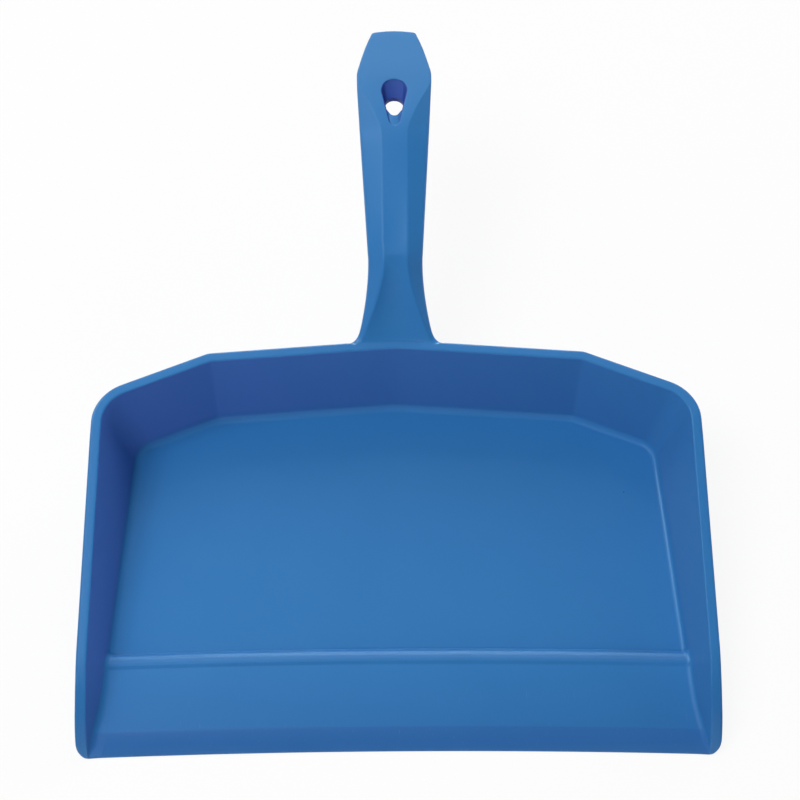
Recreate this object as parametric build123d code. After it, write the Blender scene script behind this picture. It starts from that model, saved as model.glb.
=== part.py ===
from build123d import *
import math
import os

# One-piece injection-moulded dustpan, millimetres.
# X is across the pan, Y runs from the sweeping edge to the handle, Z is up.
# While it is being shaped, Y is zero at the two front corners of the sweeping edge.

# Pan plan, measured on the sharp inside corner line at the top of the floor
FLOOR_DEPTH = 182.0
FLOOR_HALF_WIDTH = 133.4
FLOOR_HALF_WIDTH_AT = 52.0
KINK_HALF_WIDTH = 86.5
REAR_SPLAY = 4.5
DIAGONAL_ANGLE = 22.9
SIDE_TAPER = 4.4
FLOOR_CORNER_RADIUS = 12.0
RIM_CORNER_RADIUS = 17.5
FLARE_START = 34.0
FLARE_RADIUS = 132.0

# Walls, floor and rim
FLOOR_THICKNESS = 3.0
WALL_THICKNESS = 5.0
REAR_LEAN = 9.0
SIDE_LEAN = 15.9
RIM_HEIGHT = 47.3
RIM_FALL_START = 150.0
RIM_FALL_ANGLE = 9.76
RIM_FALL_BLEND = 60.0
RIM_NOSE_RADIUS = 60.0
RIM_NOSE_FORWARD = 0.7
COVE_RADIUS = 2.5
RIM_EDGE_RADIUS = 1.2

# Sweeping edge, ramp and ridge, set back from the front edge
LIP_SAG = 2.2
LIP_EDGE_HEIGHT = 1.0
LIP_BEVEL_DEPTH = 10.4
LIP_BEVEL_HEIGHT = 4.5
LIP_BEVEL_BLEND = 20.0
RIDGE_SETBACK = 42.7
RIDGE_HEIGHT = 7.0
RIDGE_FOOT_SETBACK = 50.0
RIDGE_RADIUS = 2.5
RIDGE_FOOT_RADIUS = 3.0
LIP_CORNER_RADIUS = 5.0

# Seams between the named zones of the moulding
FLOOR_SEAM_INSET = 6.0
RIDGE_SEAM = 3.0
LIP_SOLE = 14.0

# Handle, along the middle of its top facet
NECK_ANGLE = 42.5
NECK_LENGTH = 42.8
NECK_ROOT_WIDTH = 38.0
NECK_ROOT_FACET = 32.0
NECK_ROOT_DEPTH = 24.0
NECK_WAIST_AT = 28.0
NECK_WAIST_WIDTH = 27.0
GRIP_ANGLE = 16.4
GRIP_LENGTH = 62.9
GRIP_FRONT_WIDTH = 25.8
GRIP_BACK_WIDTH = 33.0
GRIP_FACET_WIDTH = 12.4
GRIP_BEVEL = 5.0
GRIP_THICKNESS = 17.0
SHOULDER_LENGTH = 30.0
SHOULDER_WIDTH = 36.0
HEAD_LENGTH = 20.6
HEAD_END_WIDTH = 22.0
HEAD_END_DRAFT = 3.0
HEAD_THICKNESS = 15.0
HEAD_EDGE = 2.3
HANDLE_EDGE_RADIUS = 1.6

# Hang hole, upright through the head, with a drop-shaped mouth
HOLE_SETBACK = 34.6
HOLE_RADIUS = 4.4
HOLE_LAND = 4.0
HOLE_MOUTH_SETBACK = 30.6
HOLE_MOUTH_RADIUS = 6.2
HOLE_TAIL_SETBACK = 45.3
HOLE_TAIL_RADIUS = 2.3
HOLE_BACK_RADIUS = 6.2
HOLE_LIFT = 1.0

# Worked out from the sizes above
LIP_ARC_RADIUS = (FLOOR_HALF_WIDTH ** 2 + LIP_SAG ** 2) / (2 * LIP_SAG)
FAR = 2 * (FLOOR_DEPTH + FLOOR_HALF_WIDTH)
SWING_HALF_WIDTH = 1.4 * FLOOR_HALF_WIDTH
TALL = 2 * RIM_HEIGHT
FRONT = -10.0
STEEP = 0.5


def meet(first, second):
    """Crossing point of two plan lines, each given as (normal x, normal y, distance)."""
    ax, ay, ad = first
    bx, by, bd = second
    det = ax * by - ay * bx
    return ((ad * by - ay * bd) / det, (ax * bd - ad * bx) / det)


def plan_line(angle, through, offset):
    """Plan line whose outward normal is turned by angle from +Y towards +X."""
    nx = math.sin(math.radians(angle))
    ny = math.cos(math.radians(angle))
    return (nx, ny, nx * through[0] + ny * through[1] + offset)


def outline(rear_offset, side_offset, corner_radius, front):
    """Plan face of the pan, its rear and side lines moved outwards by the offsets."""
    apex = (0.0, FLOOR_DEPTH)
    kink = (KINK_HALF_WIDTH, FLOOR_DEPTH - KINK_HALF_WIDTH * math.tan(math.radians(REAR_SPLAY)))
    side_point = (FLOOR_HALF_WIDTH, FLOOR_HALF_WIDTH_AT)
    rear = plan_line(REAR_SPLAY, apex, rear_offset)
    diagonal = plan_line(DIAGONAL_ANGLE, kink, rear_offset)
    side = plan_line(90 - SIDE_TAPER, side_point, side_offset)
    apex_at = meet(rear, (1.0, 0.0, 0.0))
    kink_at = meet(rear, diagonal)
    corner_at = meet(diagonal, side)
    flare_at = meet(side, (0.0, 1.0, FLARE_START))
    turn = math.radians(90 - SIDE_TAPER - DIAGONAL_ANGLE)
    reach = corner_radius * math.tan(turn / 2)
    diag_dir = (math.cos(math.radians(DIAGONAL_ANGLE)), -math.sin(math.radians(DIAGONAL_ANGLE)))
    side_dir = (math.sin(math.radians(SIDE_TAPER)), -math.cos(math.radians(SIDE_TAPER)))
    arc_from = (corner_at[0] - reach * diag_dir[0], corner_at[1] - reach * diag_dir[1])
    arc_to = (corner_at[0] + reach * side_dir[0], corner_at[1] + reach * side_dir[1])
    radius = FLARE_RADIUS - side_offset
    centre = (flare_at[0] + radius * side[0], flare_at[1] + radius * side[1])
    end_x = centre[0] - math.sqrt(radius ** 2 - (front - centre[1]) ** 2)
    right = [
        Line(apex_at, kink_at),
        Line(kink_at, arc_from),
        TangentArc(arc_from, arc_to, tangent=diag_dir),
        Line(arc_to, flare_at),
        TangentArc(flare_at, (end_x, front), tangent=side_dir),
    ]
    half = Curve() + right
    across = Line((end_x, front), (-end_x, front))
    return make_face(half + across + mirror(half, about=Plane.YZ))


def wall_loft(thickness, bottom, top, front):
    """Solid inside the leaning walls, moved outwards by a wall thickness, between two heights."""
    rear_rise = math.tan(math.radians(REAR_LEAN))
    side_rise = math.tan(math.radians(SIDE_LEAN))
    rear_skin = thickness / math.cos(math.radians(REAR_LEAN))
    side_skin = thickness / math.cos(math.radians(SIDE_LEAN))
    round_rise = (RIM_CORNER_RADIUS - FLOOR_CORNER_RADIUS) / (RIM_HEIGHT - FLOOR_THICKNESS)
    levels = []
    for height in (bottom, top):
        up = height - FLOOR_THICKNESS
        radius = FLOOR_CORNER_RADIUS + round_rise * up + thickness
        face = outline(rear_rise * up + rear_skin, side_rise * up + side_skin, radius, front)
        levels.append(Pos(0, 0, height) * face)
    return loft(levels, ruled=True)


def swung(points, radii):
    """Profile of (setback, height) points, swung about the far centre of the sweeping edge's arc."""
    corners = [Vector(LIP_SAG + setback, height) for setback, height in points]
    face = make_face(Polyline(*corners, close=True))
    for at, radius in radii.items():
        corner = corners[at]
        near = [v for v in face.vertices() if (Vector(v.X, v.Y) - corner).length < 1e-4]
        face = fillet(near, radius)
    face = Plane.YZ * face
    axis = Axis((0, LIP_SAG - LIP_ARC_RADIUS, 0), (0, 0, 1))
    swing = 2 * math.degrees(math.asin(SWING_HALF_WIDTH / LIP_ARC_RADIUS))
    return revolve(face, axis, swing).rotate(axis, -swing / 2)


def touching(solid, edge):
    """Faces of a solid that share an edge."""
    return [face for face in solid.faces() if any(edge.is_same(own) for own in face.edges())]


def pan_cavity():
    """The open inside of the pan, with a cove along the foot of every wall."""
    air = swung(
        [
            (FRONT * 2, LIP_EDGE_HEIGHT),
            (0, LIP_EDGE_HEIGHT),
            (LIP_BEVEL_DEPTH, LIP_BEVEL_HEIGHT),
            (RIDGE_SETBACK, RIDGE_HEIGHT),
            (RIDGE_FOOT_SETBACK, FLOOR_THICKNESS),
            (FAR, FLOOR_THICKNESS),
            (FAR, 2 * TALL),
            (FRONT * 2, 2 * TALL),
        ],
        {2: LIP_BEVEL_BLEND, 3: RIDGE_RADIUS, 4: RIDGE_FOOT_RADIUS},
    )
    cavity = wall_loft(0, FRONT, TALL, FRONT) & air
    foot = []
    for edge in cavity.edges():
        tilts = [face.normal_at().Z for face in touching(cavity, edge)]
        if min(tilts) < -STEEP < max(tilts) < STEEP and edge.center().Y > 0:
            foot.append(edge)
    return fillet(foot, COVE_RADIUS)


def below_rim():
    """Everything under the rim line: level at the rear, falling along the sides, rounded off in front."""
    fall = math.radians(RIM_FALL_ANGLE)
    along = Vector(math.cos(fall), math.sin(fall))
    across = Vector(-math.sin(fall), math.cos(fall))
    knee = Vector(RIM_FALL_START, RIM_HEIGHT)
    nose = Vector(-RIM_NOSE_FORWARD, LIP_EDGE_HEIGHT)
    drop = (knee - nose).dot(across)
    run = math.sqrt(drop * (2 * RIM_NOSE_RADIUS - drop))
    tangent = nose + across * drop + along * run
    rear = Vector(FAR, RIM_HEIGHT)
    line = Polyline(rear, knee, tangent)
    arc = TangentArc(tangent, nose, tangent=along * -1)
    under = Polyline(nose, (FRONT * 2, LIP_EDGE_HEIGHT), (FRONT * 2, FRONT), (FAR, FRONT), rear)
    face = make_face(Curve() + line + arc + under)
    bend = [v for v in face.vertices() if (Vector(v.X, v.Y) - knee).length < 1e-4]
    return extrude(Plane.YZ * fillet(bend, RIM_FALL_BLEND), FAR / 2, both=True)


def pan_blank():
    """Outside of the pan, cut off along the sweeping edge, with its two front corners rounded."""
    behind = swung([(0, FRONT), (FAR, FRONT), (FAR, 2 * TALL), (0, 2 * TALL)], {})
    blank = wall_loft(WALL_THICKNESS, 0, TALL, FRONT) & behind
    uprights = []
    for edge in blank.edges():
        if abs(edge.tangent_at(0.5).Z) > STEEP and edge.center().Y < FLARE_START / 2:
            uprights.append(edge)
    return fillet(uprights, LIP_CORNER_RADIUS)


def rounded_blank():
    """The blank cut down to the rim line, with the outer edge of the rim rounded."""
    blank = pan_blank() & below_rim()
    rim = []
    for edge in blank.edges():
        tilts = [face.normal_at().Z for face in touching(blank, edge)]
        if min(tilts) < STEEP < max(tilts) and edge.center().Y > LIP_SAG / 2:
            rim.append(edge)
    return fillet(rim, RIM_EDGE_RADIUS)


def moulded_pan():
    """The whole pan, hollowed under the ramp to keep one wall thickness."""
    pan = rounded_blank() - pan_cavity()
    ramp_slope = (RIDGE_HEIGHT - LIP_BEVEL_HEIGHT) / (RIDGE_SETBACK - LIP_BEVEL_DEPTH)
    sole_height = LIP_BEVEL_HEIGHT + ramp_slope * (LIP_SOLE - LIP_BEVEL_DEPTH) - FLOOR_THICKNESS
    hollow = swung(
        [
            (LIP_SOLE, FRONT),
            (LIP_SOLE, sole_height),
            (RIDGE_SETBACK, RIDGE_HEIGHT - FLOOR_THICKNESS),
            (RIDGE_FOOT_SETBACK, 0),
            (RIDGE_FOOT_SETBACK, FRONT),
        ],
        {},
    )
    return pan - (hollow & floor_prism())


def floor_prism():
    """Upright block over the part of the floor that lies clear of the wall coves."""
    radius = FLOOR_CORNER_RADIUS - FLOOR_SEAM_INSET
    face = outline(-FLOOR_SEAM_INSET, -FLOOR_SEAM_INSET, radius, FRONT)
    return extrude(Pos(0, 0, FRONT) * face, TALL)


def band(start, end):
    """Upright block between two setbacks from the sweeping edge."""
    return swung([(start, FRONT), (end, FRONT), (end, TALL), (start, TALL)], {})


def keep(shape, origin, direction):
    """The part of a shape on the side of an upright plane that the direction points to."""
    return split(shape, bisect_by=Plane(origin=origin, z_dir=direction), keep=Keep.TOP)


def pan_zones():
    """The pan cut into its floor strips and wall lengths, right-hand side first."""
    pan = moulded_pan()
    prism = floor_prism()
    strips = pan & prism
    walls = pan - prism
    ridge_start = RIDGE_SETBACK - RIDGE_SEAM
    ridge_end = RIDGE_FOOT_SETBACK + RIDGE_SEAM
    side_seam = RIM_FALL_START - RIM_FALL_BLEND * math.tan(math.radians(RIM_FALL_ANGLE)) / 2 - RIDGE_SEAM
    neck_seam = NECK_ROOT_WIDTH / 2 + RIDGE_SEAM
    turn = math.radians((REAR_SPLAY + DIAGONAL_ANGLE) / 2)
    kink = (KINK_HALF_WIDTH, FLOOR_DEPTH - KINK_HALF_WIDTH * math.tan(math.radians(REAR_SPLAY)), 0)
    outwards = (math.cos(turn), -math.sin(turn), 0)
    inwards = (-math.cos(turn), math.sin(turn), 0)
    right = keep(walls, (neck_seam, 0, 0), (1, 0, 0))
    right_rear = keep(right, (0, side_seam, 0), (0, 1, 0))
    centre = keep(keep(walls, (neck_seam, 0, 0), (-1, 0, 0)), (-neck_seam, 0, 0), (1, 0, 0))
    zones = {
        "sweeping_edge": strips & band(FRONT, LIP_BEVEL_DEPTH),
        "entry_ramp": strips & band(LIP_BEVEL_DEPTH, ridge_start),
        "stop_ridge": strips & band(ridge_start, ridge_end),
        "floor_panel": strips & band(ridge_end, FAR),
        "right_side_wall": keep(right, (0, side_seam, 0), (0, -1, 0)),
        "right_rear_corner": keep(right_rear, kink, outwards),
        "right_rear_panel": keep(right_rear, kink, inwards),
        "rear_centre_panel": centre,
    }
    for name in ("side_wall", "rear_corner", "rear_panel"):
        zones["left_" + name] = mirror(zones["right_" + name], about=Plane.YZ)
    return zones


def section(at, tilt, width, facet, bevel, depth):
    """Eight-sided handle section hung from a point of the top facet, in a plane tilted about X."""
    lean = math.radians(tilt)
    plane = Plane(origin=(0, *at), x_dir=(1, 0, 0), z_dir=(0, math.cos(lean), math.sin(lean)))
    half = [
        (facet / 2, 0),
        (width / 2, bevel),
        (width / 2, depth - bevel),
        (facet / 2, depth),
    ]
    points = half + [(-x, y) for x, y in reversed(half)]
    profile = make_face(Polyline(*points, close=True))
    return plane * fillet(profile.vertices(), HANDLE_EDGE_RADIUS)


def along(start, angle, length):
    """Point in the middle plane reached by going a length at an angle to the floor."""
    turn = math.radians(angle)
    return (start[0] + length * math.cos(turn), start[1] + length * math.sin(turn))


def neck_root():
    """Where the top facet starts, inside the rear wall and just under its rim."""
    height = RIM_HEIGHT - RIM_EDGE_RADIUS
    lean = (height - FLOOR_THICKNESS) * math.tan(math.radians(REAR_LEAN))
    return (FLOOR_DEPTH + lean + WALL_THICKNESS / 2, height)


def handle_sections():
    """Sections shared by neighbouring handle zones, from the pan to the tip."""
    root = neck_root()
    bend = along(root, NECK_ANGLE, NECK_LENGTH)
    waist_facet = (GRIP_FACET_WIDTH + NECK_WAIST_WIDTH) / 2 - GRIP_BEVEL / 2
    middle_width = (NECK_ROOT_WIDTH + NECK_WAIST_WIDTH) / 2 - HEAD_EDGE / 2
    middle_facet = (NECK_ROOT_FACET + waist_facet) / 2
    middle_depth = (NECK_ROOT_DEPTH + GRIP_THICKNESS) / 2
    flat = HEAD_EDGE * 2
    return [
        section(root, -REAR_LEAN, NECK_ROOT_WIDTH, NECK_ROOT_FACET, HEAD_EDGE, NECK_ROOT_DEPTH),
        section(
            along(root, NECK_ANGLE, NECK_WAIST_AT / 2),
            NECK_ANGLE / 2,
            middle_width,
            middle_facet,
            (HEAD_EDGE + GRIP_BEVEL) / 2,
            middle_depth,
        ),
        section(
            along(root, NECK_ANGLE, NECK_WAIST_AT),
            NECK_ANGLE - HEAD_EDGE,
            NECK_WAIST_WIDTH,
            waist_facet,
            GRIP_BEVEL,
            GRIP_THICKNESS,
        ),
        section(
            bend,
            (NECK_ANGLE + GRIP_ANGLE) / 2,
            GRIP_FRONT_WIDTH,
            GRIP_FACET_WIDTH,
            GRIP_BEVEL,
            GRIP_THICKNESS,
        ),
        section(
            along(bend, GRIP_ANGLE, GRIP_LENGTH),
            GRIP_ANGLE,
            GRIP_BACK_WIDTH,
            GRIP_FACET_WIDTH,
            GRIP_BEVEL,
            GRIP_THICKNESS,
        ),
        section(
            along(bend, GRIP_ANGLE, GRIP_LENGTH + SHOULDER_LENGTH),
            GRIP_ANGLE,
            SHOULDER_WIDTH,
            SHOULDER_WIDTH - flat,
            HEAD_EDGE,
            HEAD_THICKNESS,
        ),
        section(
            along(bend, GRIP_ANGLE, GRIP_LENGTH + SHOULDER_LENGTH + HEAD_LENGTH),
            HEAD_END_DRAFT,
            HEAD_END_WIDTH,
            HEAD_END_WIDTH - flat,
            HEAD_EDGE,
            HEAD_THICKNESS,
        ),
    ]


def drop_mouth(plane, big_at, small_at):
    """Drop-shaped face on a plane: a big and a small circle joined by their tangent lines."""
    lean = math.asin((HOLE_MOUTH_RADIUS - HOLE_TAIL_RADIUS) / (big_at - small_at))

    def on(radius, at, turn):
        return (radius * math.cos(turn), at + radius * math.sin(turn))

    big = [on(HOLE_MOUTH_RADIUS, big_at, turn) for turn in (-lean, math.pi / 2, math.pi + lean)]
    small = [on(HOLE_TAIL_RADIUS, small_at, turn) for turn in (math.pi + lean, -math.pi / 2, -lean)]
    edges = Curve() + [
        ThreePointArc(*big),
        Line(big[2], small[0]),
        ThreePointArc(*small),
        Line(small[2], big[0]),
    ]
    return plane * make_face(edges)


def throat_face(plane):
    """Round face in four arcs that match the four edges of the drop-shaped mouth."""
    turns = [math.radians(turn) for turn in (-15, 90, 195, 217.5, 240, 270, 300, 322.5, 345)]
    points = [(HOLE_RADIUS * math.cos(turn), HOLE_RADIUS * math.sin(turn)) for turn in turns]
    edges = Curve() + [ThreePointArc(*points[first:first + 3]) for first in (0, 2, 4, 6)]
    return plane * make_face(edges)


def hang_hole():
    """The hole as a solid: a round throat that opens to a drop above and to a cone below."""
    tip = along(
        along(neck_root(), NECK_ANGLE, NECK_LENGTH),
        GRIP_ANGLE,
        GRIP_LENGTH + SHOULDER_LENGTH + HEAD_LENGTH,
    )
    top = along(tip, GRIP_ANGLE, -HOLE_SETBACK)
    turn = math.radians(GRIP_ANGLE)
    half_depth = HEAD_THICKNESS / 2 / math.cos(turn)
    middle = top[1] - half_depth
    facet = Plane(origin=(0, *top), x_dir=(1, 0, 0), z_dir=(0, -math.sin(turn), math.cos(turn)))
    throat_top = Plane(origin=(0, top[0], middle + HOLE_LAND / 2))
    mouth = drop_mouth(
        facet.offset(HOLE_LIFT),
        HOLE_SETBACK - HOLE_MOUTH_SETBACK,
        HOLE_SETBACK - HOLE_TAIL_SETBACK,
    )
    funnel = loft([throat_face(throat_top), mouth], ruled=True)
    throat = Pos(0, top[0], middle) * Cylinder(HOLE_RADIUS, HOLE_LAND)
    cone = Pos(0, top[0], middle - HOLE_LAND / 2 - half_depth / 2) * Cone(
        HOLE_BACK_RADIUS, HOLE_RADIUS, half_depth
    )
    return funnel + throat + cone


def handle_zones(pan):
    """Neck, grip and head, each ending on the section that starts the next."""
    sections = handle_sections()
    return {
        "handle_neck": loft(sections[:4]) - pan,
        "handle_grip": loft(sections[3:5], ruled=True),
        "handle_head": loft(sections[4:], ruled=True) - hang_hole(),
    }


zones = pan_zones()
zones.update(handle_zones(moulded_pan()))
boxes = [zone.bounding_box() for zone in zones.values()]
middle = (min(box.min.Y for box in boxes) + max(box.max.Y for box in boxes)) / 2
os.makedirs("parts", exist_ok=True)
for name, zone in zones.items():
    export_step(Pos(0, -middle, 0) * zone, "parts/" + name + ".step")
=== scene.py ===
# %% [markdown]
# A one-piece moulded dustpan.

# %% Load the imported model
import math

import bmesh
import bpy
import numpy as np
from mathutils import Matrix, Vector


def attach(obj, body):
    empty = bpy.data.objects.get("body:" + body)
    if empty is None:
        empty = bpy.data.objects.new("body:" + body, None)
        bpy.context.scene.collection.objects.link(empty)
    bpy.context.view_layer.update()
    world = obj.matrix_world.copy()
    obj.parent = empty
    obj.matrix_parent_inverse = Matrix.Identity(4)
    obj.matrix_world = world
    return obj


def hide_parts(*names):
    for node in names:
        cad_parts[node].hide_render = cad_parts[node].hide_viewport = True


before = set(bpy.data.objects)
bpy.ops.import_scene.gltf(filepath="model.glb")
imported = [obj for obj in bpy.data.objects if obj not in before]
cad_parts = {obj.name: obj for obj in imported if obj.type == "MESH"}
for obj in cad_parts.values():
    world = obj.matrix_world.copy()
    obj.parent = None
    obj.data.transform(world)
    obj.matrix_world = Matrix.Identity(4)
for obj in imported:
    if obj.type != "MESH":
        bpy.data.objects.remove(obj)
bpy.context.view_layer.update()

# %% [markdown]
# The camera comes first, because every later step is judged through it. The
# photograph looks down on the open front from about sixty degrees, with a long
# lens. Camera helpers would frame the object by themselves, but here the
# height, turn and distance are known, so the view is built from its own axes.

# %% Camera
# Angles are in degrees, lengths in millimetres, the focal length in pixels of the picture.
MM = 0.001
IMAGE_SIDE = 800
SENSOR_WIDTH = 36
FOCAL_PIXELS = 2658.7
CAMERA_HEIGHT_ANGLE = 59.82
CAMERA_YAW = -0.937
CAMERA_ROLL = 0.485
CAMERA_DISTANCE = 1306.3
CAMERA_AIM = (2.16, 21.49, 0.0)


def camera_axes():
    """Right, up and forward of the camera, from its height angle, yaw and roll."""
    high, yaw, roll = (math.radians(a) for a in (CAMERA_HEIGHT_ANGLE, CAMERA_YAW, CAMERA_ROLL))
    side = Vector((math.cos(yaw), math.sin(yaw), 0))
    ahead = Vector((-math.sin(yaw), math.cos(yaw), 0))
    forward = ahead * math.cos(high) - Vector((0, 0, math.sin(high)))
    top = ahead * math.sin(high) + Vector((0, 0, math.cos(high)))
    right = side * math.cos(roll) + top * math.sin(roll)
    up = top * math.cos(roll) - side * math.sin(roll)
    return right, up, forward


right, up, forward = camera_axes()
lens = bpy.data.cameras.new("studio_camera")
lens.sensor_width = SENSOR_WIDTH
lens.lens = FOCAL_PIXELS * SENSOR_WIDTH / IMAGE_SIDE
camera = bpy.data.objects.new("studio_camera", lens)
turn = Matrix((right, up, -forward)).transposed().to_4x4()
stand = (Vector(CAMERA_AIM) - forward * CAMERA_DISTANCE) * MM
camera.matrix_world = Matrix.Translation(stand) @ turn
bpy.context.scene.collection.objects.link(camera)
bpy.context.scene.camera = camera
print("camera lens", round(lens.lens, 2), "mm, standing at", tuple(round(c, 3) for c in stand))

# %% [markdown]
# The sizes of the moulding, in millimetres, as the CAD model has them. Y runs
# from the sweeping edge to the handle and starts at the corners of the edge,
# so one shift puts every finished piece into the frame.

# %% Sizes of the pan
MIDDLE = 166.169
FLOOR_DEPTH = 182.0
FLOOR_HALF_WIDTH = 133.4
FLOOR_HALF_WIDTH_AT = 52.0
KINK_HALF_WIDTH = 86.5
REAR_SPLAY = math.radians(4.5)
DIAGONAL_ANGLE = math.radians(22.9)
SIDE_TAPER = math.radians(4.4)
FLARE_START = 34.0
FLARE_RADIUS = 132.0
FLOOR_THICKNESS = 3.0
WALL_THICKNESS = 5.0
REAR_LEAN = math.radians(9.0)
SIDE_LEAN = math.radians(15.9)
RIM_HEIGHT = 47.3
FLOOR_CORNER_RADIUS = 12.0
RIM_CORNER_RADIUS = 17.5
LIP_SAG = 2.2
LIP_ARC_RADIUS = (FLOOR_HALF_WIDTH ** 2 + LIP_SAG ** 2) / (2 * LIP_SAG)
WALL_RISE = RIM_HEIGHT - FLOOR_THICKNESS
FOOT_INSET = 6.0
print("lip arc radius", round(LIP_ARC_RADIUS), "mm")

# %% [markdown]
# Small helpers. A moulding has no sharp corner, so most outlines here are
# straight runs joined by rounds. A Bevel modifier could add the rounds later,
# but its width changes where faces narrow, and points on a true arc keep it.
# Rows of points become sheets of faces, and a piece is made of a few sheets.

# %% Helpers for points and sheets
NEARLY_STRAIGHT = 1e-4


def unit(vector):
    return vector / np.linalg.norm(vector)


def rounded_corner(corner, before, after, radius, steps):
    """Points of the round of a radius that joins corner-before to corner-after."""
    a, b = unit(before - corner), unit(after - corner)
    half = math.acos(float(np.clip(a @ b, -1, 1))) / 2
    sweep = math.pi - 2 * half
    if sweep < NEARLY_STRAIGHT:
        return [corner + a * radius * (0.5 - k / steps) for k in range(steps + 1)]
    centre = corner + unit(a + b) * radius / math.sin(half)
    start = corner + a * radius / math.tan(half) - centre
    end = corner + b * radius / math.tan(half) - centre
    return [
        centre
        + (start * math.sin(sweep * (1 - k / steps)) + end * math.sin(sweep * k / steps))
        / math.sin(sweep)
        for k in range(steps + 1)
    ]


def quads(rows, columns, wrap=False):
    """Faces between points that are stored row by row."""
    last = columns if wrap else columns - 1
    return [
        (
            r * columns + c,
            r * columns + (c + 1) % columns,
            (r + 1) * columns + (c + 1) % columns,
            (r + 1) * columns + c,
        )
        for r in range(rows - 1)
        for c in range(last)
    ]


def grid(points, wrap=False):
    """A sheet of faces over an array of rows of points."""
    rows, columns = points.shape[:2]
    return points.reshape(-1, 3), quads(rows, columns, wrap)


def polygon(points):
    """One flat face over a loop of points."""
    return np.asarray(points), [tuple(range(len(points)))]


def fan(loop):
    """Triangles from a loop of points to its middle."""
    count = len(loop)
    points = np.vstack([loop, loop.mean(axis=0)])
    return points, [(k, (k + 1) % count, count) for k in range(count)]


def mirrored(sheets):
    """The same sheets on the other side of the pan."""
    return [(points * (-1, 1, 1), faces) for points, faces in sheets]


print("a grid of 3 by 4 points has", len(quads(3, 4)), "faces")

# %% [markdown]
# The pieces are zones of one moulding, so each is closed by hidden caps where it
# meets its neighbour. Open sheets would look the same from outside, but only a
# closed piece is a solid thing. The edge between skin and cap is marked sharp,
# which keeps the shading of the skin the same on both sides of a seam.

# %% Helpers for closed pieces
SHARP_ANGLE = math.radians(42)
WELD, SHORTEST_EDGE = 2e-6, 1e-6


def closed_mesh(name, skin, caps):
    """A closed mesh in the frame from sheets in millimetres, smooth but for its seams."""
    work = bmesh.new()
    is_cap = work.faces.layers.int.new("is_cap")
    for sheets, flag in ((skin, 0), (caps, 1)):
        for points, faces in sheets:
            verts = [work.verts.new((x * MM, (y - MIDDLE) * MM, z * MM)) for x, y, z in points]
            for face in faces:
                made = work.faces.new([verts[k] for k in face])
                made[is_cap] = flag
                made.smooth = True
    bmesh.ops.remove_doubles(work, verts=work.verts, dist=WELD)
    bmesh.ops.dissolve_degenerate(work, edges=work.edges, dist=SHORTEST_EDGE)
    many_sided = [face for face in work.faces if len(face.verts) > 4]
    bmesh.ops.triangulate(work, faces=many_sided, ngon_method="BEAUTY")
    bmesh.ops.recalc_face_normals(work, faces=work.faces)
    for edge in work.edges:
        kinds = {face[is_cap] for face in edge.link_faces}
        edge.smooth = len(kinds) == 1 and edge.calc_face_angle(0) < SHARP_ANGLE
    open_edges = sum(not edge.is_manifold for edge in work.edges)
    work.faces.layers.int.remove(is_cap)
    mesh = bpy.data.meshes.new(name)
    work.to_mesh(mesh)
    work.free()
    print(f"{name}: {len(mesh.polygons)} faces, {open_edges} open edges")
    return mesh


pieces = {}


def keep_piece(node, mesh):
    """Puts a finished mesh in the scene as the piece that stands for a CAD node."""
    piece = bpy.data.objects.new(f"moulded_{node}", mesh)
    bpy.context.scene.collection.objects.link(piece)
    pieces[node] = piece


def keep_closed(node, skin, caps):
    keep_piece(node, closed_mesh(f"moulded_{node}", skin, caps))


def keep_pair(node, skin, caps):
    """A piece on the right and its mirror image on the left."""
    keep_closed(f"right_{node}", skin, caps)
    keep_closed(f"left_{node}", mirrored(skin), mirrored(caps))


print("edges that turn more than", round(math.degrees(SHARP_ANGLE)), "degrees stay sharp")

# %% [markdown]
# The floor's height depends only on the distance from the sweeping edge: a
# thin lip, a bevel, a shallow ramp, a ridge that stops the sweepings from
# sliding out, and the flat floor behind it. The back of the ridge curves down
# in narrow facets, each steeper than the last, and ends in a fine crease. It
# could be cut from blocks, but one rounded line holds all that, and the strips
# and the walls can both read their height from it.

# %% Floor line from the sweeping edge to the flat floor
LIP_FRONT = ((0.0, 0.5), (0.1, 0.8), (0.4, 1.06))
BEVEL_DEPTH, BEVEL_HEIGHT = 10.4, 4.5
RIDGE_STEP = (40.7, 6.2)
RIDGE_FRONT, RIDGE_BACK, RIDGE_HEIGHT = 42.3, 43.5, 7.0
RIDGE_FACETS = ((45.4, 6.63), (47.1, 6.12), (48.7, 5.15))
RIDGE_FOOT = 50.0
CREASE_WIDTH, CREASE_DEPTH = 0.9, 0.22
# A round is its radius and the number of its steps.
BEVEL_ROUND, STEP_ROUND, FACET_ROUND = (8.0, 6), (1.2, 4), (0.8, 2)
CREST_FRONT_ROUND, CREST_BACK_ROUND = (1.1, 4), (1.6, 4)
CREASE_ROUND, CREASE_END_ROUND = (0.25, 3), (0.3, 3)
EDGE_SEAM, RAMP_MIDDLE, RAMP_SEAM, RIDGE_SEAM = 14.0, 24.0, 34.0, 54.0
SUPPORT = 0.45


def rounded_line(corners):
    """A line through (along, height, radius, steps) corners, each round held by close points."""
    flat = [np.array(c[:2]) for c in corners]
    line = [flat[0]]
    for k in range(1, len(corners) - 1):
        before, here, after = flat[k - 1 : k + 2]
        arc = rounded_corner(here, before, after, *corners[k][2:])
        support = min(SUPPORT, corners[k][2] / 3)
        line.append(arc[0] + unit(before - here) * support)
        line += arc
        line.append(arc[-1] + unit(after - here) * support)
    return line + [flat[-1]]


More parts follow.
